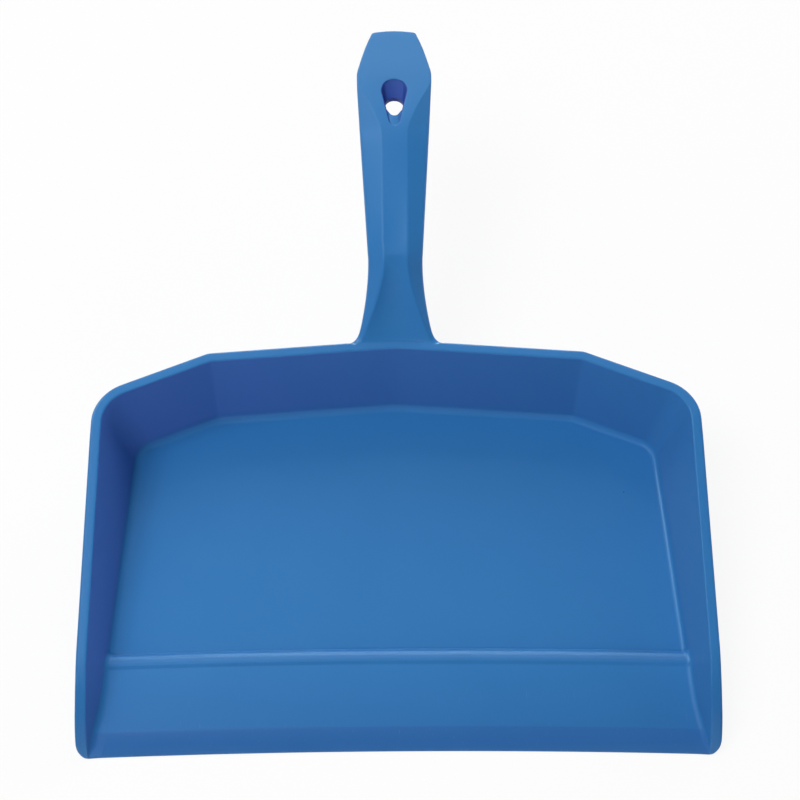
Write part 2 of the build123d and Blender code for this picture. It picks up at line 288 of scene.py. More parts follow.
floor_corners = [
    LIP_FRONT[-1],
    (BEVEL_DEPTH, BEVEL_HEIGHT, *BEVEL_ROUND),
    (*RIDGE_STEP, *STEP_ROUND),
    (RIDGE_FRONT, RIDGE_HEIGHT, *CREST_FRONT_ROUND),
    (RIDGE_BACK, RIDGE_HEIGHT, *CREST_BACK_ROUND),
    *((*facet, *FACET_ROUND) for facet in RIDGE_FACETS),
    (RIDGE_FOOT, FLOOR_THICKNESS - CREASE_DEPTH, *CREASE_ROUND),
    (RIDGE_FOOT + CREASE_WIDTH, FLOOR_THICKNESS, *CREASE_END_ROUND),
    (RIDGE_SEAM, FLOOR_THICKNESS),
]
floor_line = np.array([*LIP_FRONT[:-1], *rounded_line(floor_corners)])


def floor_height(setback):
    return float(np.interp(setback, floor_line[:, 0], floor_line[:, 1]))


seams = {EDGE_SEAM, RAMP_MIDDLE, RAMP_SEAM, RIDGE_SEAM}
strip_setbacks = sorted(set(floor_line[:, 0].round(4)) | seams)
print("floor line has", len(floor_line), "points, highest", floor_line[:, 1].max())

# %% [markdown]
# The side walls follow a straight taper that flares out just before the edge,
# and the edge itself is a very flat arc. Sections of the side are taken at one
# distance from that arc each, so their floor has a single height. The rim
# falls along the side in a straight line and rounds off at the nose. All this
# could be drawn as curves, but small functions give a point at any depth and
# offset, which every later piece asks for.

# %% Plan of the sides and the rim line
RIM_FALL_START = 150.0
RIM_FALL = math.radians(9.76)
RIM_FALL_BLEND = 60.0
RIM_NOSE_RADIUS = 60.0
RIM_NOSE = np.array([-0.7, 1.0])
LEVEL = np.array([1.0, 0.0])
NOSE_STEPS, FALL_STEPS = 40, 12
SIDE_TURNS = 3


def side_x(y, offset):
    """Half the plan width at a depth, for a side line moved outwards by an offset."""
    straight = FLOOR_HALF_WIDTH + (FLOOR_HALF_WIDTH_AT - y) * math.tan(SIDE_TAPER)
    if y >= FLARE_START:
        return straight + offset / math.cos(SIDE_TAPER)
    radius = FLARE_RADIUS - offset
    start = side_x(FLARE_START, offset)
    centre_x = start + radius * math.cos(SIDE_TAPER)
    centre_y = FLARE_START + radius * math.sin(SIDE_TAPER)
    return centre_x - math.sqrt(radius ** 2 - (y - centre_y) ** 2)


def lip_y(x, setback):
    """Depth of the arc that lies a setback behind the sweeping edge."""
    return math.sqrt((LIP_ARC_RADIUS + setback) ** 2 - x * x) - LIP_ARC_RADIUS + LIP_SAG


def on_side(setback, offset):
    """Plan point on a side line at a setback, settled in a few turns."""
    y = setback
    for _ in range(SIDE_TURNS):
        x = side_x(y, offset)
        y = lip_y(x, setback)
    return np.array([x, y])


def rim_line():
    """Points of the rim seen from the side, from the nose to the level part."""
    fall = np.array([math.cos(RIM_FALL), math.sin(RIM_FALL)])
    rise = np.array([-fall[1], fall[0]])
    knee = np.array([RIM_FALL_START, RIM_HEIGHT])
    drop = (knee - RIM_NOSE) @ rise
    run = math.sqrt(drop * (2 * RIM_NOSE_RADIUS - drop))
    start = RIM_NOSE + rise * drop + fall * run
    centre = start - rise * RIM_NOSE_RADIUS
    first = math.atan2(*(RIM_NOSE - centre)[::-1])
    last = math.atan2(*(start - centre)[::-1])
    arc = [
        centre + RIM_NOSE_RADIUS * np.array([math.cos(a), math.sin(a)])
        for a in np.linspace(first, last, NOSE_STEPS)
    ]
    knee_arc = rounded_corner(knee, start, knee + LEVEL, RIM_FALL_BLEND, FALL_STEPS)
    return np.array(arc + knee_arc)


rim_points = rim_line()


def rim_height(y):
    return float(np.interp(y, rim_points[:, 0], rim_points[:, 1]))


print("rim height at the edge", round(rim_height(0), 2), "and half way", round(rim_height(80), 2))

# %% [markdown]
# A wall section goes from a foot on the floor, up a cove, over the rounded rim
# and down the outside. The rim edges are small rounds: they catch the thin
# lines of light that show a moulded edge. Near the front the wall dies away,
# so all rounds shrink together with it. A Solidify modifier could thicken a
# plain sheet, but not with this lean, cove and rim. One function for every wall
# also keeps the count of points, so that sections join as a grid.

# %% One section of the wall
COVE_RADIUS = 3.2
RIM_INNER_RADIUS = 0.9
RIM_OUTER_RADIUS = 1.2
SOLE_RADIUS = 1.0
COVE_STEPS, INNER_STEPS, OUTER_STEPS, SOLE_STEPS = 6, 4, 6, 3
WALL_STEPS, TOP_STEPS, BACK_STEPS = 4, 3, 20
# A wall that is lower or thinner than this has smaller rounds.
FULL_HEIGHT, FULL_WIDTH, FULL_RIM = 5.6, 2.4, 3.2
SKIN_FROM = 2 + COVE_STEPS + 1 + WALL_STEPS + 1 + INNER_STEPS
SKIN_TO = SKIN_FROM + TOP_STEPS + OUTER_STEPS + 1 + BACK_STEPS


def between(start, end, steps):
    """Points between two ends, without them."""
    return [start + (end - start) * k / steps for k in range(1, steps)]


def wall_section(foot, inner, outer, floor, rim):
    """Section points from plan points: foot, and (low, high) pairs of the inner and outer face."""

    def at(pair, z):
        low, high = pair
        x, y = low + (high - low) * (z - FLOOR_THICKNESS) / WALL_RISE
        return np.array([x, y, z])

    base, inner_rim = at(inner, floor), at(inner, rim)
    outer_rim, sole = at(outer, rim), at(outer, 0.0)
    foot_top, foot_low = np.array([*foot, floor]), np.array([*foot, 0.0])
    tall = np.linalg.norm(inner_rim - base)
    wide = np.linalg.norm(outer_rim - inner_rim)
    ease = min(1, tall / FULL_HEIGHT)
    ease_top = min(ease, wide / FULL_WIDTH)
    ease_out = min(1, rim / FULL_RIM)
    ease_edge = min(ease_top, ease_out)
    cove = rounded_corner(base, foot_top, inner_rim, COVE_RADIUS * ease, COVE_STEPS)
    top = rounded_corner(inner_rim, base, outer_rim, RIM_INNER_RADIUS * ease_top, INNER_STEPS)
    edge = rounded_corner(outer_rim, inner_rim, sole, RIM_OUTER_RADIUS * ease_edge, OUTER_STEPS)
    under = rounded_corner(sole, outer_rim, foot_low, SOLE_RADIUS * ease_out, SOLE_STEPS)
    climb = unit(inner_rim - base) * SUPPORT * ease
    down = unit(sole - outer_rim) * SUPPORT * ease_out
    inward = unit(foot_low - sole) * SUPPORT
    first, last = cove[-1] + climb, top[0] - climb
    back = edge[-1] + down
    return np.array(
        [foot_top, cove[0] + unit(foot_top - base) * SUPPORT * ease]
        + cove
        + [first, *between(first, last, WALL_STEPS), last]
        + top
        + between(top[-1], edge[0], TOP_STEPS)
        + edge
        + [back, *between(back, under[0], BACK_STEPS)]
        + under
        + [under[-1] + inward, foot_low]
    )


def wall_sheets(sections):
    """Skin and caps of a run of wall sections."""
    skin = [grid(sections)]
    caps = [grid(sections[:, [-1, 0]]), polygon(sections[0]), polygon(sections[-1])]
    return skin, caps


print("outer skin of a wall section: points", SKIN_FROM, "to", SKIN_TO)

# %% [markdown]
# The two side walls lean out and fall away to the lip. They could be plates cut
# to a line, but a loft through sections, close together where the wall curves,
# keeps the cove and the rim round all along. The outer corner at the edge is cut
# to a small round in plan, so the rim band turns into the lip instead of ending
# square. The left wall is the mirror image of the right one.

# %% Side walls
LIP_CORNER_RADIUS = 5.0
THINNEST = 0.06
SIDE_SEAM = 141.8
REAR_FROM, REAR_STEP = 60.0, 9.0


def lip_corner_cut(setback):
    near = max(0.0, LIP_CORNER_RADIUS - setback)
    return LIP_CORNER_RADIUS - math.sqrt(LIP_CORNER_RADIUS ** 2 - near ** 2)


def side_section(setback):
    lean = math.tan(SIDE_LEAN) * WALL_RISE
    skin = WALL_THICKNESS / math.cos(SIDE_LEAN)
    foot = on_side(setback, -FOOT_INSET)
    inner = on_side(setback, 0), on_side(setback, lean)
    outer = [on_side(setback, skin), on_side(setback, lean + skin)]
    for k in range(2):
        cut = min(lip_corner_cut(setback), outer[k][0] - inner[k][0] - THINNEST)
        outer[k] = outer[k] - (cut, 0)
    rim = rim_height(on_side(setback, skin)[1])
    return wall_section(foot, inner, outer, floor_height(setback), rim)


nose_setbacks = [0.2, 0.8, 1.3, 2.0, 2.8, 4.0, 5.2, 6.5]
rear_setbacks = [*np.arange(REAR_FROM, SIDE_SEAM, REAR_STEP), SIDE_SEAM]
side_setbacks = sorted(set(strip_setbacks + nose_setbacks + rear_setbacks))
side_sections = np.array([side_section(s) for s in side_setbacks])
keep_pair("side_wall", *wall_sheets(side_sections))

# %% [markdown]
# The rear is faceted: a shallow V in the middle, a kink on each side, a
# diagonal and a rounded corner into the side. Four outlines, at the foot and
# top of the inner and outer face, share the same stations, and the wall is
# ruled between them. One outline moved outwards would be simpler, but the rear
# and the sides lean at different angles.

# %% Stations of the rear wall
PANEL_EDGE = 27.0
KINK_RADIUS = 5.0
KINK_STEPS, CORNER_STEPS = 4, 14
PANEL_STEPS, DIAGONAL_STEPS = 8, 5
ROUND_SUPPORT = 1.4
FAR = 100
FOOT_ROUND = FLOOR_CORNER_RADIUS - FOOT_INSET


def plan_line(angle, through, offset):
    """Plan line as its normal, turned from +Y towards +X, and its distance."""
    normal = np.array([math.sin(angle), math.cos(angle)])
    return normal, normal @ np.array(through) + offset


def meet(first, second):
    return np.linalg.solve(np.array([first[0], second[0]]), np.array([first[1], second[1]]))


def rear_stations(rear_offset, side_offset, corner_radius, kink_radius):
    """Plan points from the middle panel round to the side, and how many the panel has."""
    kink_point = (KINK_HALF_WIDTH, FLOOR_DEPTH - KINK_HALF_WIDTH * math.tan(REAR_SPLAY))
    rear = plan_line(REAR_SPLAY, (0, FLOOR_DEPTH), rear_offset)
    diagonal = plan_line(DIAGONAL_ANGLE, kink_point, rear_offset)
    side = plan_line(math.pi / 2 - SIDE_TAPER, (FLOOR_HALF_WIDTH, FLOOR_HALF_WIDTH_AT), side_offset)
    start = meet(rear, (np.array([1.0, 0.0]), PANEL_EDGE))
    kink, corner = meet(rear, diagonal), meet(diagonal, side)
    kink_arc = rounded_corner(kink, start, corner, kink_radius, KINK_STEPS)
    side_end = corner + np.array([side[0][1], -side[0][0]]) * FAR
    corner_arc = rounded_corner(corner, kink, side_end, corner_radius, CORNER_STEPS)
    along_rear, along_diagonal = unit(kink - start), unit(corner - kink)
    before = kink_arc[0] - along_rear * ROUND_SUPPORT
    after = kink_arc[-1] + along_diagonal * ROUND_SUPPORT
    enter = corner_arc[0] - along_diagonal * ROUND_SUPPORT
    leave = corner_arc[-1] + unit(side_end - corner) * ROUND_SUPPORT
    panel = [start, *between(start, before, PANEL_STEPS), before, *kink_arc, after]
    turn = [*between(after, enter, DIAGONAL_STEPS), enter, *corner_arc, leave]
    return np.array(panel + turn), len(panel)


def offsets(height, thickness):
    """Rear offset, side offset, corner round and kink round of a wall face at a height."""
    up = height - FLOOR_THICKNESS
    grow = (RIM_CORNER_RADIUS - FLOOR_CORNER_RADIUS) * up / WALL_RISE
    return (
        math.tan(REAR_LEAN) * up + thickness / math.cos(REAR_LEAN),
        math.tan(SIDE_LEAN) * up + thickness / math.cos(SIDE_LEAN),
        FLOOR_CORNER_RADIUS + grow + thickness,
        KINK_RADIUS + thickness,
    )


foot_plan, panel_count = rear_stations(-FOOT_INSET, -FOOT_INSET, FOOT_ROUND, KINK_RADIUS)
faces_plan = [
    rear_stations(*offsets(height, thickness))[0]
    for thickness in (0.0, WALL_THICKNESS)
    for height in (FLOOR_THICKNESS, RIM_HEIGHT)
]
print("rear wall:", len(foot_plan), "stations,", panel_count, "of them on the panel")

# %% Rear wall and corners
rear_sections = np.array(
    [
        wall_section(foot, (a, b), (c, d), FLOOR_THICKNESS, rim_height((b[1] + d[1]) / 2))
        for foot, a, b, c, d in zip(foot_plan, *faces_plan)
    ]
)
panel_sections = rear_sections[:panel_count]
corner_sections = np.concatenate([rear_sections[panel_count - 1 :], side_sections[-1:]])
keep_pair("rear_panel", *wall_sheets(panel_sections))
keep_pair("rear_corner", *wall_sheets(corner_sections))

# %% [markdown]
# The middle panel of the rear wall carries the neck. Its sections are taken at
# fixed distances from the middle, with the point of the V softened. The part
# of its skin behind the rim stays open here: the neck lands on it later. The
# neck could simply be pushed into the wall, but then no blend would join them.

# %% Sections of the middle panel
APEX_SOFTNESS = 3.0
centre_half = np.array([0, 1.2, 3.0, 5.5, 8.5, 12.0, 16.0, 20.0, 24.0, PANEL_EDGE])
centre_x = np.concatenate([-centre_half[:0:-1], centre_half])


def behind(x, offset):
    """Plan point on the rear line at a distance from the middle, moved back by an offset."""
    soft = math.hypot(x, APEX_SOFTNESS) - math.hypot(PANEL_EDGE, APEX_SOFTNESS) + PANEL_EDGE
    return np.array([x, FLOOR_DEPTH - soft * math.tan(REAR_SPLAY) + offset / math.cos(REAR_SPLAY)])


def centre_section(x):
    (low, *_), (high, *_) = offsets(FLOOR_THICKNESS, 0.0), offsets(RIM_HEIGHT, 0.0)
    thick = offsets(FLOOR_THICKNESS, WALL_THICKNESS)[0]
    return wall_section(
        behind(x, -FOOT_INSET),
        (behind(x, low), behind(x, high)),
        (behind(x, low + thick), behind(x, high + thick)),
        FLOOR_THICKNESS,
        RIM_HEIGHT,
    )


centre_sections = np.array([centre_section(x) for x in centre_x])
print("middle panel:", len(centre_x), "sections of", centre_sections.shape[1], "points")

# %% [markdown]
# The flat floor fills the space between the feet of the walls. One big face
# would do for a plate, but its border has to share the points of its
# neighbours, so its columns follow the stations of the rear wall and its rows
# those of the side walls.

# %% Floor panel
centre_foot = centre_sections[1:-1, 0, :2]
rear_foot = np.concatenate([foot_plan[::-1] * (-1, 1), centre_foot, foot_plan])
fractions = rear_foot[:, 0] / foot_plan[-1][0]
floor_setbacks = [s for s in side_setbacks if s >= RIDGE_SEAM]


def floor_rows(height):
    rows = []
    for setback in floor_setbacks:
        half = on_side(setback, -FOOT_INSET)[0]
        rows.append([(f * half, lip_y(f * half, setback), height) for f in fractions])
    rows.append([(x, y, height) for x, y in rear_foot])
    return np.array(rows)


def floor_edge(rows):
    """Loop of the outer points of the floor's rows."""
    return np.concatenate([rows[0], rows[1:-1, -1], rows[-1][::-1], rows[-2:0:-1, 0]])


floor_top, floor_under = floor_rows(FLOOR_THICKNESS), floor_rows(0.0)
floor_sides = np.array([floor_edge(floor_top), floor_edge(floor_under)])
keep_closed("floor_panel", [grid(floor_top), grid(floor_under)], [grid(floor_sides, wrap=True)])

# %% [markdown]
# The whole part is one shot of polypropylene, injection moulded and coloured
# blue in the mass. A plain colour would look like card. The real skin comes off
# a lightly spark-eroded tool and is satin, with soft highlights, a faint grain,
# uneven gloss and a few specks of dark masterbatch, and each of these gets its
# own nodes. They are written as rows of a table, and one function turns rows
# into nodes, here and in the node trees further on.

# %% From rows to nodes
NOISE, MIX, SCALED = "ShaderNodeTexNoise", "ShaderNodeMix", "ShaderNodeMapRange"
MATH = "ShaderNodeMath"
COLOURS = {"data_type": "RGBA"}
ADD, SUBTRACT, MULTIPLY = ({"operation": kind} for kind in ("ADD", "SUBTRACT", "MULTIPLY"))
ROOT, BELOW, LARGEST = ({"operation": kind} for kind in ("SQRT", "LESS_THAN", "MAXIMUM"))


def linear(code):
    """Linear colour of an sRGB hex code."""
    parts = [int(code[k : k + 2], 16) / 255 for k in (0, 2, 4)]
    return [c / 12.92 if c <= 0.04045 else ((c + 0.055) / 1.055) ** 2.4 for c in parts] + [1.0]


def add_nodes(tree, *rows):
    """Adds a node per row (name, kind, settings, inputs); a word as input is an earlier name."""
    made = {}
    for name, kind, settings, inputs in rows:
        node = tree.nodes.new(kind)
        for key, value in settings.items():
            setattr(node, key, value)
        for key, value in inputs.items():
            if isinstance(value, str):
                tree.links.new(made[value], node.inputs[key])
            else:
                node.inputs[key].default_value = value
        for number, socket in enumerate(node.outputs):
            made[f"{name}.{number}"] = made[f"{name}.{socket.name}"] = socket
        if len(node.outputs):
            made[name] = node.outputs[0]


def pattern(millimetres, on="place.Object"):
    """Inputs of a texture that repeats about once in a length."""
    return {"Vector": on, "Scale": 1 / (millimetres * MM)}


print("a pattern of 1 mm has a scale of", round(pattern(1.0)["Scale"]))

# %% [markdown]
# The colour of the moulding is never quite even. The melt leaves a faint mottle.
# Shade is painted into the colour as well: the upright inner faces of the walls
# take a painted shade, deeper and more violet on the left, which fades to the
# body colour at their foot, and the front of the pan takes a darker painted
# shade. A painted image could hold that, but nodes on Object coordinates need
# none and keep their size in millimetres. In a Mix node of colours, inputs 6 and
# 7 are A and B, and output 2 is the result.

# %% Rows for the colour in the mass, and a painted shade at the front
MOTTLE_MM = 38.0
SPECK_SPACING_MM, SPECK_RADIUS_MM = 34.0, 0.38
SPECK_COLOUR = linear("1d3f6f")
RIM_SIDE = 145 * MM
EDGE_Y = -MIDDLE * MM
# Painted shade: from 42 mm to 14 mm behind the edge the colour is mixed more and more towards a
# darker blue, so that the ramp and the lip look darker.
FRONT_SHADE_FROM, FRONT_SHADE_TO = EDGE_Y + 42 * MM, EDGE_Y + 14 * MM
FRONT_SHADE_COLOUR, FRONT_SHADE_SHARE = linear("2a66a6"), 0.42
place_rows = [
    ("place", "ShaderNodeTexCoord", {}, {}),
    ("mottle", NOISE, {}, {**pattern(MOTTLE_MM), "Detail": 3.0}),
    ("split", "ShaderNodeSeparateXYZ", {}, {"Vector": "place.Object"}),
    ("across", SCALED, {}, {"Value": "split.X", "From Min": -RIM_SIDE, "From Max": RIM_SIDE}),
]
speck_and_shade_rows = [
    ("cells", "ShaderNodeTexVoronoi", {}, pattern(SPECK_SPACING_MM)),
    ("speck", MATH, BELOW, {0: "cells.Distance", 1: SPECK_RADIUS_MM / SPECK_SPACING_MM}),
    ("specked", MIX, COLOURS, {"Factor": "speck", 6: "shade.2", 7: SPECK_COLOUR}),
    # Painted shade on the front of the pan.
    (
        "thin",
        SCALED,
        {},
        {"Value": "split.Y", "From Min": FRONT_SHADE_FROM, "From Max": FRONT_SHADE_TO, "To Max": FRONT_SHADE_SHARE},
    ),
    ("deeper", MIX, COLOURS, {"Factor": "thin.Result", 6: "specked.2", 7: FRONT_SHADE_COLOUR}),
]
print(len(place_rows) + len(speck_and_shade_rows), "rows for the colour")

# %% [markdown]
# Use leaves its marks: fine scuffs along the sweep and a paler and duller edge.
# The head is painted paler and made duller towards its end as well, a painted
# sheen where it catches the light. Scratches could be modelled, but they are far
# thinner than a pixel, so a noise stretched along the sweep stands for them. The
# wear and the head's painted sheen come together in one value, which pales the
# colour and later dulls the gloss.

# %% Rows for wear, and a painted sheen on the head
SCUFF_MM, SCUFF_STRETCH = 0.8, 0.06
SCUFF_FROM, SCUFF_TO, SCUFF_SHARE = 0.68, 0.84, 0.2
SWEPT_Y, WORN_Y = EDGE_Y + 60 * MM, EDGE_Y + 5 * MM
WEAR_AND_SHEEN_COLOUR, WORN_SHARE = linear("6c9fd0"), 0.18
# Painted sheen: from 110 mm to 155 mm along Y the head is mixed paler and made duller.
HEAD_SHEEN_FROM, HEAD_SHEEN_TO, HEAD_SHEEN_SHARE = 110 * MM, 155 * MM, 0.26
wear_and_sheen_rows = [
    (
        "sweep",
        "ShaderNodeMapping",
        {},
        {"Vector": "place.Object", "Scale": (1.0, SCUFF_STRETCH, 1.0)},
    ),
    ("lines", NOISE, {}, {**pattern(SCUFF_MM, "sweep"), "Detail": 1.0}),
    ("swept", SCALED, {}, {"Value": "split.Y", "From Min": SWEPT_Y, "From Max": EDGE_Y}),
    (
        "scratch",
        SCALED,
        {},
        {"Value": "lines.Fac", "From Min": SCUFF_FROM, "From Max": SCUFF_TO, "To Max": SCUFF_SHARE},
    ),
    ("scuff", MATH, MULTIPLY, {0: "scratch.Result", 1: "swept.Result"}),
    ("front", SCALED, {}, {"Value": "split.Y", "From Min": WORN_Y, "From Max": EDGE_Y}),
    ("worn", MATH, MULTIPLY, {0: "front.Result", 1: "mottle.Fac"}),
    ("paler", MATH, MULTIPLY, {0: "worn", 1: WORN_SHARE}),
    # Painted sheen on the head.
    (
        "hand",
        SCALED,
        {},
        {"Value": "split.Y", "From Min": HEAD_SHEEN_FROM, "From Max": HEAD_SHEEN_TO, "To Max": HEAD_SHEEN_SHARE},
    ),
    ("used", MATH, LARGEST, {0: "scuff", 1: "paler"}),
    ("wear_and_head_sheen", MATH, LARGEST, {0: "used", 1: "hand.Result"}),
    ("colour", MIX, COLOURS, {"Factor": "wear_and_head_sheen", 6: "deeper.2", 7: WEAR_AND_SHEEN_COLOUR}),
]
print(len(wear_and_sheen_rows), "rows for wear")

# %% [markdown]
# Last comes the skin. Its gloss varies a little from place to place, as the tool
# does, and its grain is a bump. The grain is drawn about three times coarser
# than the real tool finish, to show. An IOR of 1.49 is polypropylene's own, and
# the shine is held back a little, as the grain does. The same skin serves four
# shades: the satin body, and three painted shades, for the upright inner faces
# of the walls, for the top of the lip's bevel, which faces away from the light
# behind, and for the inside of the hanging hole, which is darkest. Four node
# trees written one by one could drift apart, so one function makes them all.

# %% Polypropylene, injection moulded, satin
GRAIN_MM, GRAIN_STRENGTH, GRAIN_HEIGHT = 0.9, 0.02, 0.2 * MM
GLOSS_MM, SMOOTHEST, ROUGHEST = 14.0, 0.29, 0.36
PLASTIC_IOR, PLASTIC_SHINE = 1.49, 0.35
FOOT_FROM, FOOT_TO = 2 * MM, 9 * MM
plastic_inputs = {
    "Base Color": "colour.2",
    "Roughness": "dull",
    "Normal": "bump.Normal",
    "IOR": PLASTIC_IOR,
    "Specular IOR Level": PLASTIC_SHINE,
}
bump_inputs = {"Height": "grain.Fac", "Strength": GRAIN_STRENGTH, "Distance": GRAIN_HEIGHT}
skin_rows = [
    ("gloss", NOISE, {}, {**pattern(GLOSS_MM), "Detail": 1.0}),
    ("satin", SCALED, {}, {"Value": "gloss.Fac", "To Min": SMOOTHEST, "To Max": ROUGHEST}),
    ("dull", MATH, ADD, {0: "satin.Result", 1: "wear_and_head_sheen"}),
    ("grain", NOISE, {}, {**pattern(GRAIN_MM), "Detail": 2.0}),
    ("bump", "ShaderNodeBump", {}, bump_inputs),
    ("plastic", "ShaderNodeBsdfPrincipled", {}, plastic_inputs),
    ("out", "ShaderNodeOutputMaterial", {}, {"Surface": "plastic.BSDF"}),
]


def moulded(name, dark, pale, drift="mottle.Fac", foot=None):
    """Polypropylene whose colour drifts between two shades, and from a third at the foot."""
    material = bpy.data.materials.new(name)
    material.use_nodes = True
    tree = material.node_tree
    tree.nodes.clear()
    shades = [("shade", MIX, COLOURS, {"Factor": drift, 6: linear(dark), 7: linear(pale)})]
    # For the walls, the foot fades their painted shade back to the body colour.
    if foot:
        shades += [
            ("rise", SCALED, {}, {"Value": "split.Z", "From Min": FOOT_FROM, "From Max": FOOT_TO}),
            ("shade", MIX, COLOURS, {"Factor": "rise.Result", 6: linear(foot), 7: "shade.2"}),
        ]
    add_nodes(tree, *place_rows, *shades, *speck_and_shade_rows, *wear_and_sheen_rows, *skin_rows)
    print(name, "has", len(tree.nodes), "nodes")
    return material


polypropylene = moulded("polypropylene_moulded_satin_blue", "3077b8", "347bbc")
# Painted shade for the upright inner faces of the walls: a deeper, more violet blue on the left,
# where the wall is in shade, paler to the right, and the body colour again at the foot.
wall_shade_polypropylene = moulded(
    "polypropylene_painted_wall_shade_blue", "4f76c6", "397bba", "across.Result", "3279ba"
)
# Painted shade for the top of the lip's bevel, which faces away from the light behind.
bevel_shade_polypropylene = moulded("polypropylene_painted_bevel_shade_blue", "326db3", "3671b7")
# Painted shade for the inside of the hanging hole, which lies in shade.
hole_shade_polypropylene = moulded("polypropylene_painted_hole_shade_blue", "1e369c", "223aa0")

# %% [markdown]
# The three strips in front of the floor (sweeping edge, ramp and ridge) follow
# one rule: a closed outline is carried along the flat arc of the edge, and its
# ends stop at the feet of the side walls. Geometry Nodes suit that: the outline
# comes in as a curve, Curve to Mesh carries it across, and Set Position bends
# it to the arc and widens it to the taper and flare of the pan. The width at a
# depth is a small group of its own, because the arc needs it more than once.

# %% Node group for the half width of the floor at a depth
FLOAT, GEOMETRY = "NodeSocketFloat", "NodeSocketGeometry"
FLARE_SIZES = ("Flare Start", "Flare Centre X", "Flare Centre Y", "Flare Radius")
WIDTH_SIZES = ("Half Width", "Slope", *FLARE_SIZES)


def new_group(name, inputs, outputs):
    """An empty node group with named sockets, given as (name, kind) pairs."""
    tree = bpy.data.node_groups.new(name, "GeometryNodeTree")
    for way, sockets in (("INPUT", inputs), ("OUTPUT", outputs)):
        for label, kind in sockets:
            tree.interface.new_socket(label, in_out=way, socket_type=kind)
    return tree


width_group = new_group(
    "half_width_at_depth",
    [(label, FLOAT) for label in ("Depth", *WIDTH_SIZES)],
    [("Width", FLOAT)],
)
add_nodes(
    width_group,
    ("in", "NodeGroupInput", {}, {}),
    ("loss", MATH, MULTIPLY, {0: "in.Depth", 1: "in.Slope"}),
    ("straight", MATH, SUBTRACT, {0: "in.Half Width", 1: "loss"}),
    ("away", MATH, SUBTRACT, {0: "in.Depth", 1: "in.Flare Centre Y"}),
    ("away_square", MATH, MULTIPLY, {0: "away", 1: "away"}),
    ("radius_square", MATH, MULTIPLY, {0: "in.Flare Radius", 1: "in.Flare Radius"}),
    ("rest", MATH, SUBTRACT, {0: "radius_square", 1: "away_square"}),
    ("chord", MATH, ROOT, {0: "rest"}),
    ("flared", MATH, SUBTRACT, {0: "in.Flare Centre X", 1: "chord"}),
    ("in_flare", MATH, BELOW, {0: "in.Depth", 1: "in.Flare Start"}),
    ("excess", MATH, SUBTRACT, {0: "flared", 1: "straight"}),
    ("gain", MATH, MULTIPLY, {0: "excess", 1: "in_flare"}),
    ("width", MATH, ADD, {0: "straight", 1: "gain"}),
    ("out", "NodeGroupOutput", {}, {"Width": "width"}),
)
print("width group has", len(width_group.nodes), "nodes")

# %% [markdown]
# The tree that makes a strip. On the real pan the strips run from wall to wall
# without a break, so their ends have to follow the feet of the walls. The width
# depends on the depth and the depth on the width: the tree works them out in
# turn, three times over, which settles them. A row of points worked out in the
# script would do the same, but here every size stays a named input.

# %% Node tree that sweeps a strip across the pan
STRIP_STATIONS = 33
strip_group = new_group(
    "strip_across_the_pan",
    [("Geometry", GEOMETRY), ("Material", "NodeSocketMaterial"), ("Stations", "NodeSocketInt")]
    + [(label, FLOAT) for label in ("Arc Radius", "Arc Sag", *WIDTH_SIZES)],
    [("Geometry", GEOMETRY)],
)
swept_inputs = {"Curve": "across", "Profile Curve": "in.Geometry", "Fill Caps": True}
GROUP, WIDTH = "GeometryNodeGroup", {"node_tree": width_group}
width_inputs = {label: f"in.{label}" for label in WIDTH_SIZES}


def arc_rows(x, y):
    """Rows that find the depth of the edge's arc, moved back by the setback, at a width."""
    return (
        (f"{y}_square", MATH, MULTIPLY, {0: x, 1: x}),
        (f"{y}_rest", MATH, SUBTRACT, {0: "reach_square", 1: f"{y}_square"}),
        (f"{y}_far", MATH, ROOT, {0: f"{y}_rest"}),
        (f"{y}_short", MATH, SUBTRACT, {0: f"{y}_far", 1: "in.Arc Radius"}),
        (y, MATH, ADD, {0: f"{y}_short", 1: "in.Arc Sag"}),
    )


add_nodes(
    strip_group,
    ("in", "NodeGroupInput", {}, {}),
    ("line", "GeometryNodeCurvePrimitiveLine", {}, {"Start": (-1, 0, 0), "End": (1, 0, 0)}),
    ("across", "GeometryNodeResampleCurve", {}, {"Curve": "line", "Count": "in.Stations"}),
    ("swept", "GeometryNodeCurveToMesh", {}, swept_inputs),
    ("place", "GeometryNodeInputPosition", {}, {}),
    ("part", "ShaderNodeSeparateXYZ", {}, {0: "place"}),
    ("setback", MATH, MULTIPLY, {0: "part.Y", 1: -1.0}),
    ("height", MATH, MULTIPLY, {0: "part.Z", 1: -1.0}),
    ("reach", MATH, ADD, {0: "in.Arc Radius", 1: "setback"}),
    ("reach_square", MATH, MULTIPLY, {0: "reach", 1: "reach"}),
    ("half_a", GROUP, WIDTH, {"Depth": "setback", **width_inputs}),
    *arc_rows("half_a", "depth_a"),
    ("half_b", GROUP, WIDTH, {"Depth": "depth_a", **width_inputs}),
    *arc_rows("half_b", "depth_b"),
    ("half", GROUP, WIDTH, {"Depth": "depth_b", **width_inputs}),
    ("x", MATH, MULTIPLY, {0: "half", 1: "part.X"}),
    *arc_rows("x", "y"),
    ("bent", "ShaderNodeCombineXYZ", {}, {"X": "x", "Y": "y", "Z": "height"}),
    ("moved", "GeometryNodeSetPosition", {}, {"Geometry": "swept", "Position": "bent"}),
    ("real", "GeometryNodeRealizeInstances", {}, {0: "moved"}),
    ("coated", "GeometryNodeSetMaterial", {}, {"Geometry": "real", "Material": "in.Material"}),
    ("out", "NodeGroupOutput", {}, {"Geometry": "coated"}),
)
print("strip tree has", len(strip_group.nodes), "nodes")

# %% [markdown]
# The sweeping edge, the ramp and the ridge. Below the ramp and the ridge the
# moulding is relieved, so that the plastic stays about equally thick. Each
# closed outline goes through the tree as a curve object. The tree could stay on
# as a live modifier, but the export wants plain meshes, so its result is read
# once and kept.

